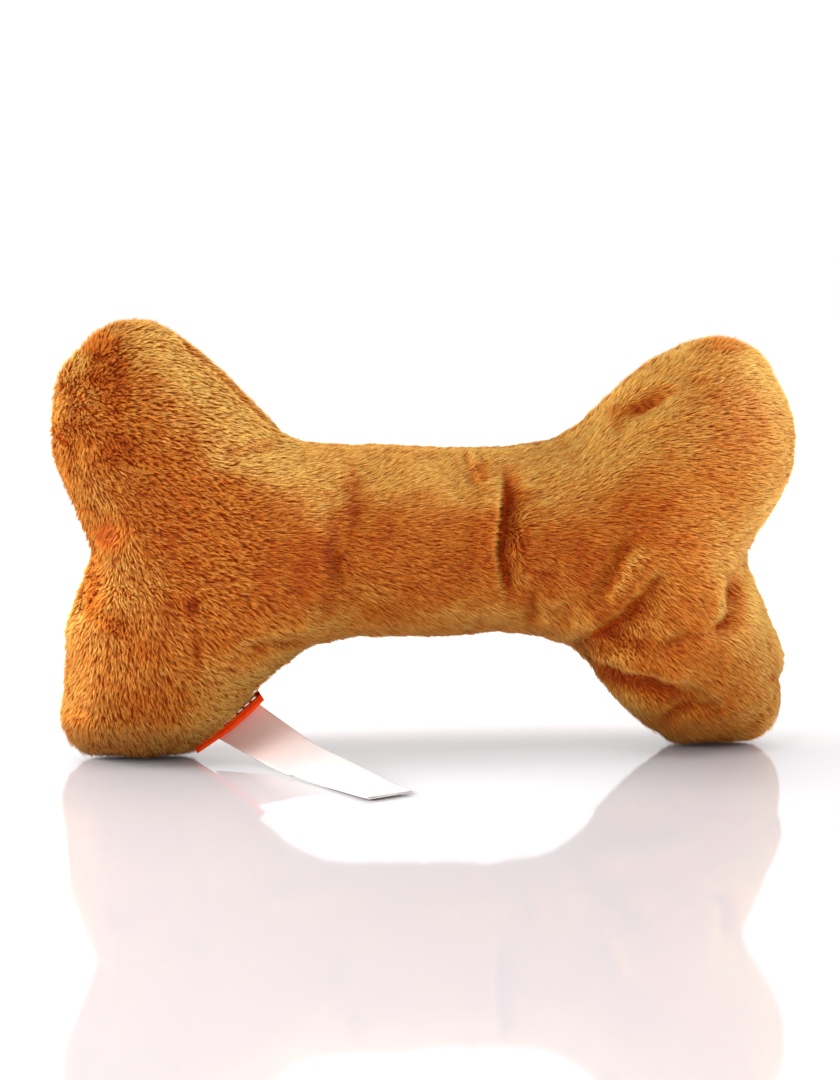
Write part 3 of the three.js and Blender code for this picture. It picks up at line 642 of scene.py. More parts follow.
def triangulated(poly, rings, pitch):
    """A flat (x, z) net inside poly: the outline, rings along it, and an even grid."""
    pts = [poly]
    for k, d in enumerate(rings):
        pts.append(inset(poly, d)[:: (1, 1, 2, 2, 3)[min(k, 4)]])
    gx, gz = np.meshgrid(np.arange(-132, 133, pitch), np.arange(-8, 156, pitch * 0.866))
    gx = gx + (np.arange(gz.shape[0]) % 2)[:, None] * pitch / 2
    grid = np.stack([gx.ravel(), gz.ravel()], 1)
    grid = grid[inside(poly, grid)]
    grid = grid[distance(poly, grid)[0] > rings[-1] + pitch * 0.55]
    pts = np.vstack(pts + [grid])
    got = delaunay_2d_cdt([Vector(p) for p in pts], [], [list(range(len(poly)))], 1, 1e-5)
    v = np.array([(p[0], p[1]) for p in got[0]])
    f = np.array([t for t in got[2] if len(t) == 3])
    a, b, c = v[f[:, 0]], v[f[:, 1]], v[f[:, 2]]
    turn = (b[:, 0] - a[:, 0]) * (c[:, 1] - a[:, 1]) - (b[:, 1] - a[:, 1]) * (c[:, 0] - a[:, 0])
    f[turn < 0] = f[turn < 0][:, ::-1]
    rim = np.zeros(len(v), bool)
    near = distance(poly, v)[0] < 1e-3
    rim[near] = True
    return v, f, rim


def closed_net(v, f, rim, front, back):
    """One closed mesh: front and back heights (y, millimetres) over the same net, joined at the rim."""
    n = len(v)
    other = np.arange(n)
    free = np.where(~rim)[0]
    other[free] = n + np.arange(len(free))
    verts = np.vstack([
        np.stack([v[:, 0], front, v[:, 1]], 1),
        np.stack([v[free, 0], back[free], v[free, 1]], 1),
    ])
    return verts, np.vstack([f, other[f][:, ::-1]])


net, tris, rim = triangulated(EDGE, [0.5, 1.6, 3.6, 6.4], 4.5)
rise = crown(EDGE, net) * START
rise[rim] = 0
verts, faces = closed_net(net, tris, rim, SEAM_Y - rise, SEAM_Y + rise)
body = add("stuffed_form", mesh_from("stuffed_form", verts, faces))
remesh = body.modifiers.new("remesh", "REMESH")
remesh.mode = "VOXEL"
remesh.voxel_size = VOXEL * 0.001
applied(body)

rest = coords(body.data)
pin = body.vertex_groups.new(name="pin")
off = np.abs(rest[:, 1] - SEAM_Y)
for i in np.where(off < 3.2)[0]:
    pin.add([int(i)], float(np.clip(1 - off[i] / 4.5, 0, 1)), "REPLACE")
cloth = body.modifiers.new("cloth", "CLOTH")
s = cloth.settings
s.quality = 6
s.mass = 0.12
s.tension_stiffness = 12
s.compression_stiffness = 6
s.shear_stiffness = 5
s.bending_stiffness = 0.25
s.use_pressure = True
s.uniform_pressure_force = 4.0
s.effector_weights.gravity = 0
s.vertex_group_mass = "pin"
s.pin_stiffness = 1.0
s.shrink_min = -0.035
cloth.collision_settings.use_collision = False
cloth.collision_settings.use_self_collision = False
cloth.point_cache.frame_start = 1
cloth.point_cache.frame_end = 20
for f in range(1, 21):
    scene.frame_set(f)
applied(body)
scene.frame_set(1)
moved = coords(body.data) - rest
size = np.linalg.norm(moved, axis=1)
moved *= (0.5 * np.minimum(size, 3.0) / np.maximum(size, 1e-9))[:, None]
set_coords(body.data, rest + moved)
body.vertex_groups.clear()

sub = body.modifiers.new("sub", "SUBSURF")
sub.levels = 2
sub.render_levels = 2
applied(body)
body.data.polygons.foreach_set("use_smooth", np.ones(len(body.data.polygons), bool))


def fold_depth(x, z, folds, dents, wider=1.0):
    """How far folds and dents press the surface in, at (x, z)."""
    pts = np.stack([x, z], 1)
    out = np.zeros(len(pts))
    for path, depth, width_left, width_right, lip_left, lip_right in folds:
        line = even(path, 60)
        line = np.stack([np.convolve(np.pad(line[:, k], 6, mode="edge"), np.ones(13) / 13, "valid") for k in (0, 1)], 1)
        d, place, side = distance(line, pts, closed=False)
        total = np.linalg.norm(np.diff(line, axis=0), axis=1).sum()
        fade = smooth(0, 0.34 * total, place) * smooth(0, 0.34 * total, total - place)
        wobble = 1 + 0.14 * np.sin(place * 0.5 + depth)
        width = np.where(side > 0, width_left, width_right) * wider
        lip = np.where(side > 0, lip_left, lip_right)
        narrow = (min(width_left, width_right) + 1.2) * wider
        out += depth * wobble * fade * (np.exp(-((d / width) ** 2)) - lip * np.exp(-(((d - narrow - width) / (1.1 * narrow)) ** 2)))
    for cx, cz, r, depth in dents:
        out += depth * np.exp(-(((x - cx) ** 2 + (z - cz) ** 2) / r ** 2))
    return out


def seam_shift(x, z):
    pts = np.stack([x, z], 1)
    out = np.zeros(len(pts))
    for path, shift, reach in SEAM_SWING:
        line = even(path, 30)
        d, place, _ = distance(line, pts, closed=False)
        total = np.linalg.norm(np.diff(line, axis=0), axis=1).sum()
        out += shift * (1 - smooth(reach * 0.5, reach * 1.6, d)) * smooth(0, 0.22 * total, place) * smooth(0, 0.22 * total, total - place)
    return out


def set_back(x, z):
    return 4.5 * smooth(58, 108, x) * smooth(52, 4, z)


def seam_place(x, z):
    """How far the finished seam lies behind its plane."""
    return seam_shift(x, z) + set_back(x, z)


c = coords(body.data)
nrm = normals(body.data)
face_out = smooth(2, 9, np.abs(c[:, 1] - SEAM_Y))
front_side = c[:, 1] < SEAM_Y
press = np.where(front_side, fold_depth(c[:, 0], c[:, 2], FRONT_FOLDS, FRONT_DENTS), fold_depth(c[:, 0], c[:, 2], BACK_FOLDS, BACK_DENTS))
lumps = 0.55 * noise(c, 26.0, 3) + 0.3 * noise(c, 11.0, 4)
c = c - nrm * (press * (0.25 + 0.75 * face_out) - lumps * face_out)[:, None]
# the seam pulls in, with small puckers either side of it
along = distance(CAD_EDGE, np.stack([c[:, 0], c[:, 2]], 1))[1]
off = c[:, 1] - SEAM_Y - seam_shift(c[:, 0], c[:, 2])
pull = (2.3 + 0.35 * np.sin(along / 2.1) * np.sin(along / 13.0)) * np.exp(-((off / 2.4) ** 2)) - 0.5 * np.exp(-(((np.abs(off) - 5.5) / 2.6) ** 2))
# behind the seam of the upper left lobe the back panel stands proud of the front one
proud = np.clip(-seam_shift(np.minimum(c[:, 0], 0), c[:, 2]) / 5.0, 0, 1)
pull += proud * (1.8 * np.exp(-((off / 1.5) ** 2)) - 0.45 * np.exp(-(((off - 5.0) / 3.0) ** 2)))
flat_n = unit(nrm * np.array([1, 0.05, 1]))
c = c - flat_n * (pull * smooth(2, 10, c[:, 2]))[:, None]
# both feet run in towards the seam they stand on
c[:, 1] = SEAM_Y + (c[:, 1] - SEAM_Y) * (1 - 0.40 * smooth(18, 0, c[:, 2]))
# the right foot stands a little further back
c[:, 1] += set_back(c[:, 0], c[:, 2])
# it stands on its two lower lobes, pressed flat
low = c[:, 2] < FLOOR + 3.0
t = np.clip((FLOOR + 3.0 - c[low, 2]) / 6.0, 0, 1)
c[low, 2] = np.maximum(FLOOR, FLOOR + 3.0 - 6.0 * (t - t * t * 0.5))
c[:, 2] = np.maximum(c[:, 2], FLOOR)
set_coords(body.data, c)


def half(side, name):
    """The front (-1) or back (+1) part of the form, cut along the seam."""
    me = body.data.copy()
    c = coords(me)
    shift = seam_place(c[:, 0], c[:, 2])
    c[:, 1] -= shift
    set_coords(me, c)
    bm = bmesh.new()
    bm.from_mesh(me)
    bmesh.ops.bisect_plane(
        bm, geom=bm.verts[:] + bm.edges[:] + bm.faces[:], dist=1e-7,
        plane_co=(0, (SEAM_Y + side * 0.15) * 0.001, 0), plane_no=(0, side, 0), clear_inner=True,
    )
    bm.to_mesh(me)
    bm.free()
    c = coords(me)
    c[:, 1] += seam_place(c[:, 0], c[:, 2])
    set_coords(me, c)
    me.name = name
    return me


def scatter(me, count, rng):
    """Points spread evenly over a mesh, with its smooth normals."""
    me.calc_loop_triangles()
    n = len(me.loop_triangles)
    tri = np.empty(n * 3, np.int32)
    me.loop_triangles.foreach_get("vertices", tri)
    tri = tri.reshape(-1, 3)
    v, nn = coords(me), normals(me)
    a, b, c = v[tri[:, 0]], v[tri[:, 1]], v[tri[:, 2]]
    area = np.linalg.norm(np.cross(b - a, c - a), axis=1)
    cum = np.cumsum(area)
    pick = np.searchsorted(cum, (np.arange(count) + rng.random(count)) / count * cum[-1])
    pick = np.minimum(pick, n - 1)
    r1, r2 = np.sqrt(rng.random(count)), rng.random(count)
    w = np.stack([1 - r1, r1 * (1 - r2), r1 * r2], 1)
    t = tri[pick]
    p = (v[t] * w[:, :, None]).sum(1)
    q = unit((nn[t] * w[:, :, None]).sum(1))
    return p, q


def nearest_clump(p, cell, seed):
    """The nearest of a jittered lattice of clump centres, with three random numbers for each."""
    base = np.floor(p / cell).astype(np.int64)
    best = np.full(len(p), 1e18)
    where = np.zeros_like(p)
    rand = np.zeros_like(p)
    for dx in (-1, 0, 1):
        for dy in (-1, 0, 1):
            for dz in (-1, 0, 1):
                q = base + np.array([dx, dy, dz])
                j = np.stack([hashed(q[:, 0], q[:, 1], q[:, 2], seed + k) for k in range(3)], 1)
                pos = (q + 0.1 + 0.8 * j) * cell
                d = ((p - pos) ** 2).sum(1)
                m = d < best
                best[m] = d[m]
                where[m] = pos[m]
                rand[m] = np.stack([hashed(q[m, 0], q[m, 1], q[m, 2], seed + 10 + k) for k in range(3)], 1)
    return where, rand


# brushed-up places on the front: x, z, half width, half height, strength; their deeper orange is painted shade, and a
# few of them only mark where shade falls
BRUSHED_AND_SHADED = [
    (-111.5, 140, 8, 11, 1.1), (-107.5, 131, 5, 9, 0.85), (-108, 110.5, 10, 6, 0.95), (-110, 82, 5.5, 8, 1.0), (-122, 114, 8, 26, 0.55),
    (-119, 88, 6, 10, 0.5), (-114.4, 62, 6, 14, 0.9), (-109.7, 52.4, 7, 4, 0.9), (-120, 38, 7, 18, 0.5), (-121, 16, 8, 9, 0.6),
    (-99, 45.3, 6, 4, 0.6), (-99, 100, 16, 6, 0.18), (-72, 98, 14, 9, 0.20), (-88, 26, 12, 10, 0.25),
    (14.8, 101.2, 2.5, 3.0, 1.0), (27.0, 84, 2.6, 13, 0.7), (70.5, 122.2, 6.5, 3.4, 0.6), (62.4, 117.0, 2.8, 4.2, 0.8),
    (101, 144, 10, 3.5, 0.7), (89, 131, 4, 3, 0.5), (68, 44, 7, 5, 0.5), (63, 29, 10, 4, 0.5), (-66, 40, 12, 5, 0.3), (90, 12, 14, 6, 0.45), (-84.8, 59.6, 3.0, 4.0, 1.0),
]
# places where the pile parts and its red root shows, and places of painted shade along folds and on the shank, all
# darkened
PARTED_AND_SHADED = [
    (-37.0, 74, 2.8, 12, 0.85), (-29.6, 93, 2.8, 9, 0.65), (-38, 58, 3.0, 6, 0.45), (31.4, 56, 2.8, 8, 0.55), (-83.4, 59.6, 2.4, 3.6, 1.0),
    (-82.6, 46, 1.8, 8, 0.5), (-16, 54, 9, 5, 0.35), (66.5, 119.6, 3, 1.7, 0.4), (70.0, 121.6, 3, 1.9, 0.65), (74.0, 124.2, 3, 1.7, 0.45),
    (-106, 137, 3, 5, 0.5), (-110, 83, 3, 5, 0.5),
    (65.0, 57.5, 4, 5, 0.5), (59.0, 51.5, 5, 3.5, 0.5), (70.5, 65.0, 3, 5, 0.35), (28.0, 77, 3.2, 15, 0.25),
    (57, 40.5, 6, 2.4, 0.5), (66, 43.5, 6, 2.6, 0.5), (64, 29.6, 5, 2.0, 0.5), (74, 27.2, 6, 2.0, 0.6), (84, 25.0, 5, 1.8, 0.45),
]
# brushed-up places on the back, in the same columns; their deeper orange is painted shade too
BRUSHED_AND_SHADED_BACK = [
    (-110, 120, 12, 16, 0.8), (108, 122, 12, 16, 0.7), (-114, 40, 10, 20, 0.7), (-24, 80, 4, 16, 0.8),
    (60, 42, 9, 6, 0.7), (20, 92, 10, 6, 0.35), (110, 40, 12, 14, 0.5),
]


def brushed(x, z, places):
    out = np.zeros(len(x))
    for cx, cz, rx, rz, w in places:
        r = ((x - cx) / rx) ** 2 + ((z - cz) / rz) ** 2
        out = np.maximum(out, w * np.exp(-(r ** 1.5)))
    return out


def nap_angle(x, z):
    """Direction the pile lies in, degrees up from +X, seen from the front."""
    shank = 26 * np.clip((z - 77) / 31, -1.15, 1.0)
    left = -6 - 18 * smooth(105, 55, z) - 42 * smooth(72, 30, z) * smooth(-70, -102, x) + 24 * smooth(-72, -50, x) * smooth(80, 115, z)
    right = 14 * smooth(95, 135, z) - 30 * smooth(92, 45, z)
    wl, wr = smooth(-48, -76, x), smooth(48, 76, x)
    return shank * (1 - wl) * (1 - wr) + left * wl + right * wr


def pile_on(me, side, count, seed, name):
    """Real tapered fibres over one panel, clumped, lying along the nap, in pieces of a size that exports whole."""
    rng = np.random.default_rng(seed)
    p, n = scatter(me, count, rng)
    x, z = p[:, 0], p[:, 2]
    places = BRUSHED_AND_SHADED if side < 0 else BRUSHED_AND_SHADED_BACK
    wob = 0.5 * noise(p, 7.0, seed + 21) + 0.5 * noise(p, 2.6, seed + 22)
    jx, jz = x + 2.2 * noise(p, 5.0, seed + 23), z + 2.2 * noise(p, 5.0, seed + 24)
    brushed_and_shaded = np.clip(brushed(jx, jz, places) + 0.22 * wob, 0, 1)
    off = np.abs(p[:, 1] - SEAM_Y - seam_place(x, z))
    folds = FRONT_FOLDS if side < 0 else BACK_FOLDS
    sunken = fold_depth(x, z, folds, [])
    crease = 0.9 * smooth(1.3, 4.6, sunken) * smooth(2, 9, off)
    parted_and_shaded = np.clip(brushed(0.6 * x + 0.4 * jx, 0.6 * z + 0.4 * jz, PARTED_AND_SHADED), 0, 1) if side < 0 else np.zeros(count)
    fold_and_parting_shade = np.maximum(crease, parted_and_shaded)
    ahead = 0.9 * smooth(1.3, 4.6, fold_depth(x + 2.4, z, folds, []))
    over = np.clip(ahead - crease, 0, 1) * smooth(2, 9, off)
    # ruffled on the left, lying smooth elsewhere
    rough = np.clip(0.25 + 0.75 * smooth(-42, -72, x) + 0.35 * noise(p, 24.0, seed + 33) + 0.3 * brushed_and_shaded, 0, 1) if side < 0 else np.full(count, 0.5)
    fine, fr = nearest_clump(p, 0.86, seed + 31)
    big, br3 = nearest_clump(p, 1.15, seed + 61)
    ruffled = (rough + 0.25 * noise(p, 1.5, seed + 34) > 0.55)[:, None]
    clump, cr = np.where(ruffled, big, fine), np.where(ruffled, br3, fr)
    theta = nap_angle(x, z) + (5 + 9 * rough) * noise(p, 17.0, seed + 25) + (3 + 9 * rough) * noise(p, 5.5, seed + 26) + (cr[:, 0] - 0.5) * (9 + 26 * rough)
    theta += brushed_and_shaded * (75 * noise(p, 9.0, seed + 27) + 50 * noise(p, 3.5, seed + 28) - 25)
    theta += (rng.random(count) - 0.5) * (10 + 14 * rough)
    lip = 1 - smooth(4, 12, distance(even(SEAM_SWING[0][0], 30), np.stack([x, z], 1), closed=False)[0])
    theta = theta * (1 - lip) + (-42 + 0.3 * (theta + 42)) * lip
    th = np.radians(theta)
    d = np.stack([np.cos(th), np.zeros(count), np.sin(th) - 0.10], 1)
    d = unit(d - n * (d * n).sum(1)[:, None])
    lean = np.radians(70 - 9 * rough - 16 * brushed_and_shaded + (cr[:, 1] - 0.5) * (8 + 10 * rough) + (rng.random(count) - 0.5) * 14)
    at_seam = np.exp(-((off / (1.7 + 1.3 * lip)) ** 2))
    length = (3.9 - 0.5 * rough) * (0.82 + 0.36 * cr[:, 2]) * (0.85 + 0.3 * rng.random(count)) * (1 - (0.62 + 0.2 * lip) * at_seam * smooth(3, 9, z)) * (1 - 0.15 * crease) * (1 - 0.55 * over)
    under = smooth(2.6, FLOOR, z) * smooth(-0.3, -0.9, n[:, 2])
    lean = lean * (1 - under) + np.radians(84) * under
    pull = clump - p
    pull -= n * (pull * n).sum(1)[:, None]
    apart = np.linalg.norm(pull, axis=1)
    pull *= np.minimum(1, 0.9 / np.maximum(apart, 1e-9))[:, None]
    d1 = n * np.cos(lean)[:, None] + d * np.sin(lean)[:, None]
    root = p - n * 0.25
    tip = root + d1 * length[:, None] + pull * (0.5 + 0.45 * rough)[:, None]
    for q in (root, tip):
        q[:, 2] = np.maximum(q[:, 2], 0.22)
    width = 0.155 * (0.76 + 0.24 * rough) * (0.85 + 0.3 * rng.random(count))
    s = unit(np.cross(d, n))
    # painted light: pile facing up and to either side, and a little of that facing down, is given the paler laid
    # colour, less of it in folds
    lit = 0.46 * smooth(0.05, 0.75, n[:, 2]) + 0.40 * smooth(0.08, 0.65, n[:, 0]) + 0.30 * smooth(0.2, 0.85, -n[:, 0]) + 0.10 * smooth(-0.15, -0.7, n[:, 2])
    tone = 0.45 + lit * (1 - 0.75 * smooth(0.15, 1.3, sunken))
    tone += 0.36 * (cr[:, 1] - 0.5) + 0.24 * (rng.random(count) - 0.5) + 0.16 * noise(p, 22.0, seed + 29) + 0.12 * noise(p, 6.0, seed + 30)
    # painted shade: brushed-up pile is coloured the deeper orange that upright pile shows in the light
    tone = tone * (1 - 0.88 * brushed_and_shaded) + 0.15 * 0.88 * brushed_and_shaded
    # painted shade: pile on faces turned to the front and back is darkened, most of all on the shank, as pile seen end
    # on looks deeper
    end_on = smooth(0.72, 0.97, np.abs(n[:, 1]))
    shank = smooth(-82, -54, x) * smooth(88, 50, x)
    end_on_shade = (0.08 + 0.09 * shank) * end_on
    # painted shade: darker in folds, over their lips, in the parted and shaded places and where the pile meets the
    # table; behind the upper left seam the back panel's lip is darkened as painted shade and the front panel's lip
    # lightened as painted highlight
    ground = smooth(4.6, 1.2, z)
    tone = np.clip((tone + (0.20 if side < 0 else -0.30) * lip - end_on_shade) * (1 - np.maximum(0.86 * crease, 0.72 * fold_and_parting_shade)) * (1 - 0.45 * over) * (1 - 0.7 * ground), 0.02, 0.98)
    # fibres at the edge of a clump lie deeper and are coloured darker as painted shade, more of them on undersides, in
    # folds and partings and near the table
    edge = smooth(0.22, 0.60, apart / np.where(ruffled[:, 0], 1.15, 0.86))
    shade = smooth(0.45, -0.25, n[:, 2])
    sunk_and_shaded = rng.random(count) < (0.10 + 0.09 * rough + (0.24 + 0.30 * rough + 0.22 * shade) * edge) * (1 - 0.5 * brushed_and_shaded) + 0.30 * fold_and_parting_shade + 0.6 * ground
    t_tip = np.where(sunk_and_shaded, 0.10 + 0.16 * rng.random(count), 1 - (0.30 + 0.15 * shade) * edge - 0.25 * rng.random(count) ** 2)
    # painted shade: darker still on faces turned to the front and back, most of all on the shank, and in the parted and
    # shaded places
    t_tip = t_tip * (1 - (0.04 + 0.20 * shank) * end_on) * (1 - 0.5 * parted_and_shaded)
    tip = np.where(sunk_and_shaded[:, None], root + (tip - root) * 0.8, tip)

    ring = [(math.cos(a), math.sin(a)) for a in (math.pi / 2, math.pi * 7 / 6, math.pi * 11 / 6)]
    o1 = unit(np.cross(d1, s))
    verts = np.empty((count, 4, 3))
    for k, (ca, sa) in enumerate(ring):
        verts[:, k] = root + (s * ca + o1 * sa) * width[:, None]
    verts[:, 3] = tip
    verts[:, :, 2] = np.maximum(verts[:, :, 2], 0.05)
    local = np.array([(0, 2, 1), (0, 1, 3), (1, 2, 3), (2, 0, 3)])
    tt = np.array([0, 0, 0, 1.0])
    vo = np.array([-1.0, 0.0, 1.0, 0.0])
    each = 49000
    parts = []
    order = np.argsort(x, kind="stable")
    groups = max(1, math.ceil(count / each))
    for g, pick in enumerate(np.array_split(order, groups)):
        m = len(pick)
        v = verts[pick].reshape(-1, 3)
        f = (local[None] + 4 * np.arange(m)[:, None, None]).reshape(-1, 3)
        pm = mesh_from(f"{name}_{g + 1}", v, f)
        at = pm.attributes.new("pile_t", "FLOAT", "POINT")
        each_t = np.tile(tt, (m, 1)) * t_tip[pick][:, None]
        at.data.foreach_set("value", each_t.ravel().astype(np.float32))
        at = pm.attributes.new("pile_tone", "FLOAT", "POINT")
        at.data.foreach_set("value", np.repeat(tone[pick], 4).astype(np.float32))
        u = 0.03 + 0.94 * each_t[:, local]
        u[:, 0] = (0.015, 0.03, 0.04)
        w = 0.02 + 0.96 * np.repeat(tone[pick], 12) + 0.006 * np.tile(vo[local].reshape(-1), m)
        layer = pm.uv_layers.new(name="OFBake")
        layer.data.foreach_set("uv", np.stack([u.reshape(-1), w], 1).astype(np.float32).ravel())
        ob = add(f"{name}_{g + 1}", pm, PILE)
        parts.append(ob)
    return parts


def shell(me, name):
    ob = add(name, me, BACKING)
    so = ob.modifiers.new("backing", "SOLIDIFY")
    so.thickness = SKIN_T * 0.001
    so.offset = -1
    so.use_even_offset = False
    applied(ob)
    return ob


# each panel with its pile and backing; the front's pieces stay where they are while the back's go with the back half
for side, word, count in ((-1, "front", 275000), (1, "back", 205000)):
    me = half(side, word)
    pile = pile_on(me, side, count, 100 if side < 0 else 500, f"{word}_pile")
    skin = shell(me, f"{word}_plush")
    for ob in [skin] + pile:
        if side < 0:
            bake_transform(ob)
        else:
            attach(ob, "back_half")
    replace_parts(skin, f"{word}_panel")

# ------------------------------------------------------------------ filling
def half_filling(side, name):
    poly = even(np.vstack([inset(CAD_EDGE, 5.8), inset(CAD_EDGE, 5.8)[:1]]), 260, closed=True)
    v, f, rim = triangulated(poly, [0.8, 2.4, 5.0], 2.6)
    p3 = np.stack([v[:, 0], np.full(len(v), float(side)), v[:, 1]], 1)
    fold = fold_depth(v[:, 0], v[:, 1], FRONT_FOLDS if side < 0 else BACK_FOLDS, FRONT_DENTS if side < 0 else BACK_DENTS, 1.5)
    h = crown(poly, v) * 0.88 - 1.25 * np.maximum(fold, 0) - 3.6 + 0.9 * noise(p3, 9.0, 71) + 0.6 * noise(p3, 3.6, 72)
    r = np.hypot(v[:, 0] + 2.5, v[:, 1] - 75.4)
    dome = 14.6 * np.sqrt(np.clip(1 - (r / 23.6) ** 2, 0, 1))
    if side > 0:
        dome = np.where(r < 7.6, 21.6, dome)
    h = np.maximum(h, np.where(r < 26, dome + 3.0, 0.0))
    h = np.maximum(h, 0.8)
    inner = np.maximum(dome, 0.2)
    outer = np.maximum(h, inner + 0.5)
    inner[rim], outer[rim] = 0.5, 0.5
    a, b = SEAM_Y + side * outer, SEAM_Y + side * inner
    verts, faces = closed_net(v, f, rim, a if side < 0 else b, b if side < 0 else a)
    verts[:, 1] += set_back(verts[:, 0], verts[:, 2])
    verts[:, 2] = np.maximum(verts[:, 2], 4.8)
    ob = add(name, mesh_from(name, verts, faces), FILLING)
    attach(ob, "back_half")
    return ob


ob = half_filling(-1, "front_fibre_filling")
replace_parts(ob, "front_stuffing")
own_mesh(ob)
ob = half_filling(1, "back_fibre_filling")
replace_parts(ob, "back_stuffing")


# ------------------------------------------------------------------ small swept pieces
def sweep(name, lines, radius, sides, mat):
    """Round strands along lines of points (mm), each closed at both ends, as one mesh."""
    verts, faces = [], []
    for line in lines:
        line = np.asarray(line, float)
        n = len(line)
        t = unit(np.gradient(line, axis=0))
        ref = np.array([0, 1.0, 0]) if abs(t[0, 1]) < 0.9 else np.array([1.0, 0, 0])
        u = unit(np.cross(t, ref))
        w = np.cross(t, u)
        base = len(verts)
        grow = np.sqrt(np.clip(1 - (np.abs(np.linspace(-1, 1, n)) ** 8), 0.12, 1))
        for i in range(n):
            for k in range(sides):
                a = 2 * math.pi * k / sides
                verts.append(line[i] + radius * grow[i] * (math.cos(a) * u[i] + math.sin(a) * w[i]))
        for i in range(n - 1):
            for k in range(sides):
                a, b = base + i * sides + k, base + i * sides + (k + 1) % sides
                faces.append((a, b, b + sides, a + sides))
        faces.append(tuple(base + k for k in reversed(range(sides))))
        faces.append(tuple(base + (n - 1) * sides + k for k in range(sides)))
    return add(name, mesh_from(name, np.array(verts), faces), mat)


def seam_line(poly, start, end, count):
    s = np.vstack([poly, poly, poly[:1]])
    n = len(poly)
    part = s[int(start * n): int(end * n) + 1]
    p = even(part, count)
    y = SEAM_Y + seam_place(p[:, 0], p[:, 1])
    return np.stack([p[:, 0], y, np.maximum(p[:, 1], 3.4)], 1)


thread_edge = inset(CAD_EDGE, 3.9)
GAP_FROM, GAP_TO = 0.585, 0.665
run = seam_line(thread_edge, GAP_TO, 1 + GAP_FROM, 1180)
stitches = []
for i in range(0, len(run) - 5, 4):
    seg = run[i:i + 5]
    k = np.linspace(0, 1, 7)
    line = np.stack([np.interp(k, np.linspace(0, 1, 5), seg[:, j]) for j in range(3)], 1)
    line[:, 1] += 0.55 * np.cos(np.pi * k) * (1 if (i // 4) % 2 else -1)
    stitches.append(line)
ob = sweep("perimeter_seam_stitches", stitches, 0.24, 6, SEAM_THREAD)
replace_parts(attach(ob, "back_half"), "perimeter_seam_thread")

run = seam_line(thread_edge, GAP_FROM, GAP_TO, 400)
k = np.linspace(0, 1, 400)
ladder = run.copy()
ladder[:, 1] += 0.9 * np.tanh(2.4 * np.sin(2 * np.pi * 13 * k))
ob = sweep("closing_ladder_stitch", [ladder], 0.30, 8, SEAM_THREAD)
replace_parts(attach(ob, "back_half"), "closing_seam_thread")

# ------------------------------------------------------------------ tab and its stitches
TAB_A, TAB_B = np.array([-77.6, SEAM_Y, 5.6]), np.array([-56.6, SEAM_Y, 22.2])
ALONG = (TAB_B - TAB_A) / np.linalg.norm(TAB_B - TAB_A)
FLAT_OUT = np.array([ALONG[2], 0, -ALONG[0]])
TILT = math.radians(48)
OUT = FLAT_OUT * math.cos(TILT) + np.array([0, -math.sin(TILT), 0])
FACE = -np.cross(ALONG, OUT)              # the face seen from the front
TAB_L = 29.9
TAB_ROOT = TAB_A - ALONG * 5.1 + FLAT_OUT * -2.3 + np.array([0, -0.9, 0])


def tab_point(s, o, f):
    """s along the seam, o outwards, f towards the viewer; the tab bows a little and its edge waves."""
    k = s / TAB_L
    bow = 0.9 * np.sin(np.pi * k)
    wave_ = 0.22 * np.sin(7.5 * k + 0.6) * (o / 6.2)
    curl = 0.5 * (k - 0.5) ** 2 * (o / 6.2) * 2
    return TAB_ROOT + np.outer(s, ALONG) + np.outer(o, OUT) + np.outer(f + wave_ + curl, FACE) + np.outer(bow, FLAT_OUT) * 0.7


def woven_tab():
    t, gap, out = 0.45, 0.5, 5.1
    r0, r1 = gap / 2, gap / 2 + t
    arc = np.linspace(math.pi / 2, -math.pi / 2, 9)
    outer = [(o, r1) for o in np.linspace(0, out - r1, 9)] + [(out - r1 + r1 * math.cos(a), r1 * math.sin(a)) for a in arc[1:-1]] + [(o, -r1) for o in np.linspace(out - r1, 0, 9)]
    inner = [(o, -r0) for o in np.linspace(0, out - r1, 9)] + [(out - r1 + r0 * math.cos(a), r0 * math.sin(a)) for a in arc[::-1][1:-1]] + [(o, r0) for o in np.linspace(out - r1, 0, 9)]
    sec = np.array(outer + inner)
    m, n = len(sec), 61
    s = np.linspace(0, TAB_L, n)
    verts, weave = [], []
    run_len = np.r_[0, np.cumsum(np.linalg.norm(np.diff(sec, axis=0), axis=1))]
    for i in range(n):
        fray = 0.08 * math.sin(i * 2.7)
        verts.append(tab_point(np.full(m, s[i]), sec[:, 0] + fray * 0, sec[:, 1]))
        weave.append(np.stack([np.full(m, s[i]), run_len, np.zeros(m)], 1))
    verts, weave = np.vstack(verts), np.vstack(weave)
    faces = []
    for i in range(n - 1):
        for k in range(m):
            a, b = i * m + k, i * m + (k + 1) % m
            faces.append((a, a + m, b + m, b))
    half_ = m // 2
    for base, flip in ((0, False), ((n - 1) * m, True)):
        for k in range(half_ - 1):
            q = (base + k, base + k + 1, base + m - 2 - k, base + m - 1 - k)
            faces.append(tuple(reversed(q)) if flip else q)
    me = mesh_from("tab", verts, faces)
    at = me.attributes.new("weave", "FLOAT_VECTOR", "POINT")
    at.data.foreach_set("vector", weave.astype(np.float32).ravel())
    bm = bmesh.new()
    bm.from_mesh(me)
    bmesh.ops.recalc_face_normals(bm, faces=bm.faces)
    bm.to_mesh(me)
    bm.free()
    return add("woven_side_tab", me, WOVEN)


tab = woven_tab()
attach(tab, "tab")
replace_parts(tab, "woven_tab")

lines = []
pitch, long_ = 3.1, 2.1
s0 = 1.2
while s0 + long_ < TAB_L - 0.6:
    k = np.linspace(0, 1, 11)
    f = 0.25 + 0.45 + 0.32 * np.sin(np.pi * k) ** 0.6 - 0.12
    lines.append(tab_point(s0 + long_ * k, np.full(11, 1.9) + 0.12 * (k - 0.5), f))
    s0 += pitch
ob = sweep("tab_running_stitch", lines, 0.26, 8, WHITE_THREAD)
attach(ob, "tab")
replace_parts(ob, "tab_stitching")


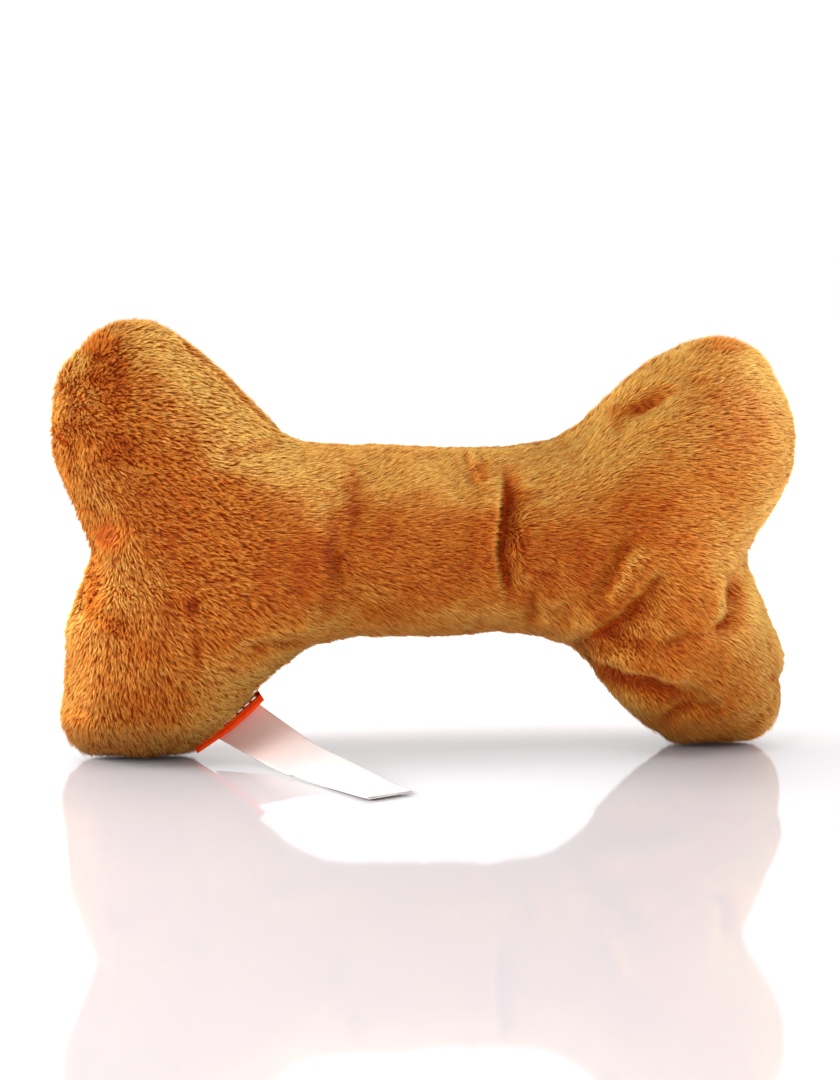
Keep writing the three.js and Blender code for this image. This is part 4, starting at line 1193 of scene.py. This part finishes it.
# ------------------------------------------------------------------ care label
def leaf(name, lift, longer, side_slip, phase):
    V = lambda p: np.array([p[0], SEAM_Y + p[1], p[2] + lift])
    high0, low0 = V((-61.0, 0.9, 19.0)), V((-74.6, 0.9, 6.3))
    high1, low1 = V((-10.8, -64.5, 1.1)), V((-26.4, -73.0, 1.1))
    go = (high1 + low1 - high0 - low0) / 2
    go /= np.linalg.norm(go)
    across = (high1 - low1) / np.linalg.norm(high1 - low1)
    high1, low1 = high1 + go * longer + across * side_slip, low1 + go * longer + across * side_slip
    nu, nv = 25, 97
    u, v = np.meshgrid(np.linspace(0, 1, nu), np.linspace(0, 1, nv))
    u, v = u.ravel(), v.ravel()
    p = (1 - v)[:, None] * (np.outer(1 - u, low0) + np.outer(u, high0)) + v[:, None] * (np.outer(1 - u, low1) + np.outer(u, high1))
    floor_z = 0.42 + lift
    sag = 2.6 * np.sin(np.pi * v)
    p[:, 2] = p[:, 2] - sag
    ripple = 0.55 * np.sin(9.0 * v + phase + 1.3 * u) * smooth(0.10, 0.35, v) * (1 - 0.6 * smooth(0.8, 1, v))
    p[:, 2] += np.where(p[:, 2] > floor_z + 0.6, ripple * 0.7, np.abs(ripple) * 0.35)
    p[:, 2] = np.maximum(p[:, 2], floor_z)
    # cut end, not quite square
    top = p.reshape(nv, nu, 3)
    du = np.gradient(top, axis=1)
    dv = np.gradient(top, axis=0)
    nn = unit(np.cross(du.reshape(-1, 3), dv.reshape(-1, 3)))
    nn[nn[:, 2] < 0] *= -1
    thick = 0.15
    top_p, bot_p = p + nn * thick / 2, p - nn * thick / 2
    verts = np.vstack([top_p, bot_p])
    N = nu * nv
    faces = []
    for j in range(nv - 1):
        for i in range(nu - 1):
            a = j * nu + i
            faces.append((a, a + 1, a + nu + 1, a + nu))
            faces.append((N + a, N + a + nu, N + a + nu + 1, N + a + 1))
    ring_ = [i for i in range(nu)] + [j * nu + nu - 1 for j in range(1, nv)] + [(nv - 1) * nu + i for i in range(nu - 2, -1, -1)] + [j * nu for j in range(nv - 2, 0, -1)]
    for a, b in zip(ring_, ring_[1:] + ring_[:1]):
        faces.append((a, N + a, N + b, b))
    me = mesh_from(name, verts, faces)
    weave = np.stack([u * 20.5, v * 86.0, np.zeros(N)], 1)
    at = me.attributes.new("weave", "FLOAT_VECTOR", "POINT")
    at.data.foreach_set("vector", np.vstack([weave, weave]).astype(np.float32).ravel())
    sel = np.maximum(smooth(0.06, 0.02, u), smooth(0.94, 0.98, u))
    at = me.attributes.new("selvedge", "FLOAT", "POINT")
    at.data.foreach_set("value", np.r_[sel, sel].astype(np.float32))
    bm = bmesh.new()
    bm.from_mesh(me)
    bmesh.ops.recalc_face_normals(bm, faces=bm.faces)
    bm.to_mesh(me)
    bm.free()
    return add(name, me, SATIN)


for name, node, lift, longer, slip, phase in (
    ("care_ribbon_upper", "care_label_upper_leaf", 0.0, 0.0, 0.0, 0.4),
    ("care_ribbon_lower", "care_label_lower_leaf", -0.20, 1.0, 0.4, 0.55),
):
    ob = leaf(name, lift, longer, slip, phase)
    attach(ob, "care_label")
    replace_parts(ob, node)

# ------------------------------------------------------------------ squeaker
def lathe(profile, centre, sides):
    """Turned about an axis along Y through centre; the profile is closed, (r, y)."""
    pr = np.array(profile, float)
    verts, faces = [], []
    m = len(pr)
    for k in range(sides):
        a = 2 * math.pi * k / sides
        verts.append(np.stack([centre[0] + pr[:, 0] * math.cos(a), centre[1] + pr[:, 1], centre[2] + pr[:, 0] * math.sin(a)], 1))
    for k in range(sides):
        for i in range(m):
            a, b = k * m + i, k * m + (i + 1) % m
            c_, d_ = ((k + 1) % sides) * m + i, ((k + 1) % sides) * m + (i + 1) % m
            faces.append((a, b, d_, c_))
    bm = bmesh.new()
    bv = [bm.verts.new(Vector(v) * 0.001) for v in np.vstack(verts)]
    for f in faces:
        bm.faces.new([bv[i] for i in f])
    bmesh.ops.remove_doubles(bm, verts=bm.verts, dist=1e-7)
    bmesh.ops.recalc_face_normals(bm, faces=bm.faces)
    me = bpy.data.meshes.new("turned")
    bm.to_mesh(me)
    bm.free()
    me.polygons.foreach_set("use_smooth", np.ones(len(me.polygons), bool))
    return me


def bulb():
    R, H, W = 23.0, 14.0, 0.8
    outer = []
    for a in np.linspace(-math.pi / 2, math.pi * 0.43, 44):
        r, y = R * math.cos(a), H * math.sin(a)
        bead = 0.5 * math.exp(-((y / 0.7) ** 2))          # moulding seam round the middle
        if y < 0 or r > 6.5:
            outer.append((max(r, 0.0) + bead, y))
    inner = []
    for a in np.linspace(math.pi * 0.43, -math.pi / 2, 40):
        r, y = (R - W) * math.cos(a), (H - W) * math.sin(a)
        if y < 0 or r > 5.1:
            inner.append((max(r, 0.0), y))
    neck = [(6.2, 14.2), (6.0, 14.9), (6.0, 17.6), (5.8, 18.0), (4.95, 18.0), (4.8, 17.8), (4.8, 13.2)]
    return lathe(outer + neck + inner, (-2.5, SEAM_Y, 75.4), 64)


ob = add("squeaker_air_bulb", bulb(), POLYTHENE)
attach(ob, "back_half")
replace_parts(ob, "squeaker_bulb")
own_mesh(ob)

for node, mat in (("reed_holder", HARD), ("reed_clamp", HARD), ("reed", FILM)):
    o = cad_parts[node]
    o = bpy.data.objects[o] if isinstance(o, str) else o
    for slot_ in o.material_slots:
        slot_.material = mat
    if not o.material_slots:
        o.data.materials.append(mat)

bpy.data.objects.remove(body)
